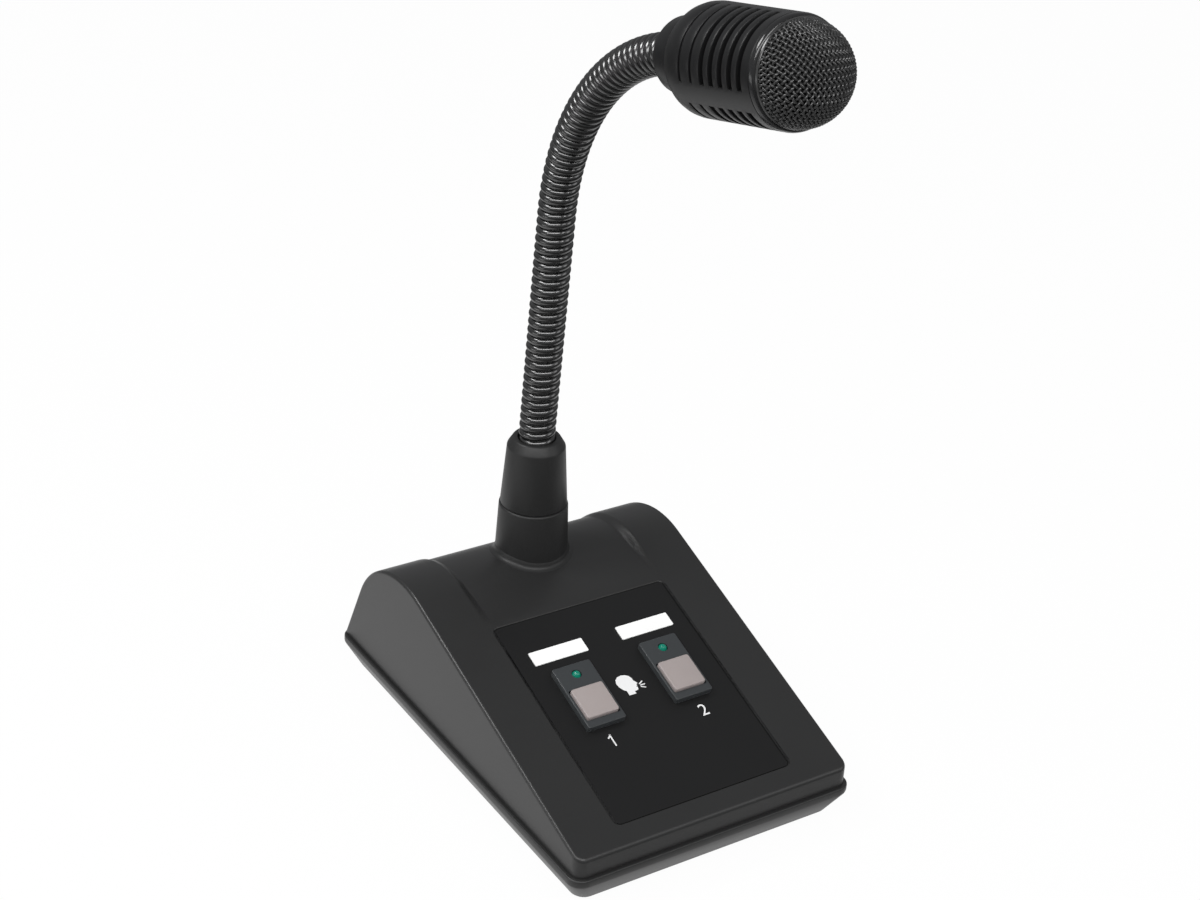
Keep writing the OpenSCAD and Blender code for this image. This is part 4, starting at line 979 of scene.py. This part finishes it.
# Head body: a moulded barrel with a rounded shoulder, open at the front for the capsule.
# Rows of slots in three sectors let sound in behind the capsule; two shallow grooves lie behind them.
BODY_REAR_R, BODY_R, BODY_FRONT_R, SHOULDER_L, BODY_FRONT, BODY_BORE_R = 11.7, 16.1, 15.7, 8.7, 51.7, 14
SLOT_ROWS, SLOT_PITCH, SLOT_W, SLOT_FRONT, SLOT_EDGE = 5, 4.2, 2, 4.5, 0.18
GROOVE_ROWS, GROOVE_PITCH, GROOVE_W, GROOVE_D = 2, 5, 1, 0.6
SPIN_STEPS, RIB_STEPS, SLOT_TURN, REAR_BORE_R = 90, 6, math.radians(84.5), 8.5
shoulder_rise = BODY_R - BODY_REAR_R
shoulder_r = (SHOULDER_L**2 + shoulder_rise**2) / (2 * shoulder_rise)
shoulder_end = COLLAR_L + SHOULDER_L


def body_radius(z):
    """Outer radius of the body at a distance from the collar's rear."""
    if z < shoulder_end:
        return BODY_R - shoulder_r + math.sqrt(shoulder_r**2 - (shoulder_end - z) ** 2)
    return BODY_R + (BODY_FRONT_R - BODY_R) * (z - shoulder_end) / (BODY_FRONT - shoulder_end)


slots = [(BODY_FRONT - SLOT_FRONT - k * SLOT_PITCH, SLOT_W / 2) for k in range(SLOT_ROWS)]
grooves = [(slots[-1][0] - (k + 1) * GROOVE_PITCH, GROOVE_W / 2) for k in range(GROOVE_ROWS)]
slot_cuts = [z + side * half for z, half in slots for side in (-1, 1)]
groove_cuts = [z + side * half for z, half in grooves for side in (-1, 1)]
heights = [COLLAR_L + SHOULDER_L * (1 - math.cos(math.radians(t))) for t in range(12, 90, 13)]
heights = sorted(heights + [shoulder_end] + slot_cuts + groove_cuts)
outline = [(REAR_BORE_R, COLLAR_L), (BODY_REAR_R - 0.35, COLLAR_L), (BODY_REAR_R, COLLAR_L + 0.3)]
outline += [(body_radius(z), z) for z in heights]
outline += [(BODY_FRONT_R, BODY_FRONT - 0.25), (BODY_FRONT_R - 0.25, BODY_FRONT), (BODY_BORE_R, BODY_FRONT)]
outline += [(BODY_BORE_R, z) for z in sorted(slot_cuts, reverse=True)]
outline += [(BODY_BORE_R, shoulder_end), (REAR_BORE_R, shoulder_end - 5), (REAR_BORE_R, COLLAR_L)]
barrel = turned("head_barrel", outline, SPIN_STEPS)


def in_row(place, rows):
    """Whether a place lies in one of these rows, in a slotted sector between the three smooth ribs."""
    step = 2 * math.pi / SPIN_STEPS
    turn = math.atan2(place.y, place.x) - SLOT_TURN + RIB_STEPS * step / 2
    in_sector = turn % (2 * math.pi / 3) > RIB_STEPS * step
    return in_sector and any(abs(place.z / MM - z) < half for z, half in rows)


def bore_key(vertex):
    """The turn and height of a vertex, the same for one on the bore and one outside it."""
    return round(math.atan2(vertex.co.y, vertex.co.x), 4), round(vertex.co.z, 6)


take_up(barrel)
barrel.rotation_euler = (0, 0, SLOT_TURN - RIB_STEPS * math.pi / SPIN_STEPS)
bpy.ops.object.transform_apply()
bpy.ops.object.mode_set(mode="EDIT")
select_faces(lambda c, n: in_row(c, grooves) and n.xy.dot(c.xy) > 0)
bpy.ops.mesh.extrude_region_shrink_fatten(TRANSFORM_OT_shrink_fatten={"value": -GROOVE_D * MM})
select_faces(lambda c, n: in_row(c, slots) and abs(n.z) < 0.3)
bpy.ops.mesh.delete(type="FACE")
mesh = bmesh.from_edit_mesh(barrel.data)
bpy.ops.mesh.select_all(action="DESELECT")
bpy.ops.mesh.select_mode(type="EDGE")
open_edges = [edge for edge in mesh.edges if len(edge.link_faces) == 1]
matches = {}
for edge in open_edges:
    for vertex in edge.verts:
        matches.setdefault(bore_key(vertex), set()).add(vertex)
for edge in open_edges:
    a, b = edge.verts
    if a.co.xy.length < (BODY_BORE_R + 0.5) * MM:
        continue
    inner = [next((v for v in matches[bore_key(end)] if v is not end), None) for end in (a, b)]
    if None not in inner:
        mesh.faces.new((a, b, inner[1], inner[0]))
bmesh.update_edit_mesh(barrel.data)
bpy.ops.mesh.select_all(action="SELECT")
bpy.ops.mesh.normals_make_consistent(inside=False)
slots_from, slots_to = (grooves[-1][0] - 2) * MM, (slots[0][0] + 2) * MM
round_creases(
    60, lambda c: slots_from < c.z < slots_to and c.xy.length > (BODY_FRONT_R - 0.3) * MM, SLOT_EDGE, 2,
    clamp_overlap=True,
)
bpy.ops.object.mode_set(mode="OBJECT")
barrel.matrix_world = head_place
bpy.ops.object.transform_apply()
finish_edges(barrel, 40)
wear(barrel, head_look)
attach(barrel, "head")
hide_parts("head_body")

# Inside of the head: acoustic cloth behind the slots, the capsule in its rubber holder, foam in front of it.
# Only the cloth and the foam show, as black between the slots and the grille's wires.
dress(moulded_plastic("open_foam", (0.006, 0.006, 0.0065), (0.01, 0.01, 0.0105), 0.9, 0.25, 0.6), "foam_plug")
dress(moulded_plastic("liner_cloth", grey(0.035), grey(0.05), 0.9, 0.25, 0.6), "vent_liner")
dress(plated_metal("capsule_can", (0.6, 0.6, 0.6), 0.35, 0.7), "capsule")
dress(lead_look, "capsule_holder")

# Grille ring: a thin glossy ring of plastic that holds the grille in the front of the barrel.
# Its rounded front edge catches the light.
RING_L, DOME_R, DOME_H = 1.8, 14.8, 14.4
dome_z = BODY_FRONT + RING_L
ring_in = DOME_R + 0.05
ring_outline = [(DOME_R, BODY_FRONT), (BODY_FRONT_R - 0.15, BODY_FRONT), (BODY_FRONT_R, BODY_FRONT + 0.15)]
for step in range(1, 7):
    a = math.radians(step * 15)
    ring_outline.append((ring_in + (BODY_FRONT_R - ring_in) * math.cos(a), BODY_FRONT + RING_L * math.sin(a)))
ring_outline += [(DOME_R, dome_z - 0.1), (DOME_R, BODY_FRONT)]
ring = turned("grille_hoop", ring_outline, 96, head_place)
finish_edges(ring, 40)
wear(ring, moulded_plastic("hoop_gloss", (0.012, 0.012, 0.0125), (0.015, 0.015, 0.0155), 0.16, 0.5, 0.03))
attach(ring, "head")
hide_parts("grille_ring")

# Grille: crimped steel wires woven over and under each other, pressed to a half-round dome and blackened.
# The wires keep their spacing, so the mesh shears towards the rim.
# A plain band round its foot sits in the ring.
WIRE_PITCH, WIRE_R, WIRE_TURN, WIRE_COUNT, CRIMP_STEPS = 1.38, 0.34, math.radians(58), 20, 4
TUCK_FROM, TUCK, BAND_W = 0.12, 0.5, 0.8
ball_r = (DOME_R**2 + DOME_H**2) / (2 * DOME_H)
ball_middle = Vector((0, 0, dome_z + DOME_H - ball_r))
crimp = 0.95 * WIRE_R
wire_ball_r = ball_r - WIRE_R - crimp
rim_z = math.cos(math.radians(87.5))


def on_first_wire(turn, k):
    """Direction of the k-th crossing on the wire that runs straight over the dome's top at this turn."""
    a = k * WIRE_PITCH / wire_ball_r
    return Vector((math.sin(a) * math.cos(turn), math.sin(a) * math.sin(turn), math.cos(a)))


wires = range(-WIRE_COUNT, WIRE_COUNT + 1)
crossings = {}
for k in wires:
    crossings[k, 0] = on_first_wire(WIRE_TURN, k)
    crossings[0, k] = on_first_wire(-WIRE_TURN, k)
for a, b in CORNERS:
    for i in range(a, a * (WIRE_COUNT + 1), a):
        for j in range(b, b * (WIRE_COUNT + 1), b):
            between = (crossings[i, j - b] + crossings[i - a, j]).normalized()
            start = crossings[i - a, j - b]
            crossings[i, j] = 2 * between.dot(start) * between - start

weave = bpy.data.curves.new("grille_weave", "CURVE")
weave.dimensions = "3D"
weave.bevel_depth = WIRE_R * MM
weave.bevel_resolution = 1
weave.use_fill_caps = True


def lay_wire(points):
    """Lays one wire of the weave through points in millimetres."""
    wire = weave.splines.new("POLY")
    wire.points.add(len(points) - 1)
    for point, place in zip(wire.points, points):
        point.co = (*(place * MM), 1)


for along in (0, 1):
    for k in wires:
        run = []
        for m in wires:
            here = crossings[(m, k) if along == 0 else (k, m)]
            ahead = crossings.get((m + 1, k) if along == 0 else (k, m + 1))
            over = 1 if (m + k + along) % 2 == 0 else -1
            for part in range(CRIMP_STEPS if ahead else 1):
                way = here.lerp(ahead, part / CRIMP_STEPS).normalized() if ahead else here
                if way.z > rim_z:
                    tuck = max(0, TUCK_FROM - way.z) / TUCK_FROM * TUCK
                    reach = wire_ball_r + over * crimp * math.cos(math.pi * part / CRIMP_STEPS) - tuck
                    run.append(ball_middle + way * reach)
                    continue
                if len(run) > CRIMP_STEPS:
                    lay_wire(run)
                run = []
grille = bpy.data.objects.new("grille_weave", weave)
scene.collection.objects.link(grille)
take_up(grille)
bpy.ops.object.convert(target="MESH")
grille = bpy.context.object
grille.matrix_world = head_place
bpy.ops.object.transform_apply()
band_foot = BODY_FRONT + 0.1
band = turned(
    "grille_band",
    [
        (DOME_R - BAND_W, band_foot), (DOME_R - 0.05, band_foot), (DOME_R - 0.05, dome_z + 0.5),
        (DOME_R - 0.3, dome_z + 0.8), (DOME_R - BAND_W, dome_z + 0.7), (DOME_R - BAND_W, band_foot),
    ],
    96, head_place,
)
grille = join_pieces("grille_weave", [grille, band])
finish_edges(grille, 60)
wire_look = moulded_plastic("grille_wire", grey(0.045), grey(0.055), 0.2, 0.4, 0.03, {"Metallic": 0.4})
wear(grille, wire_look)
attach(grille, "head")
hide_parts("grille")
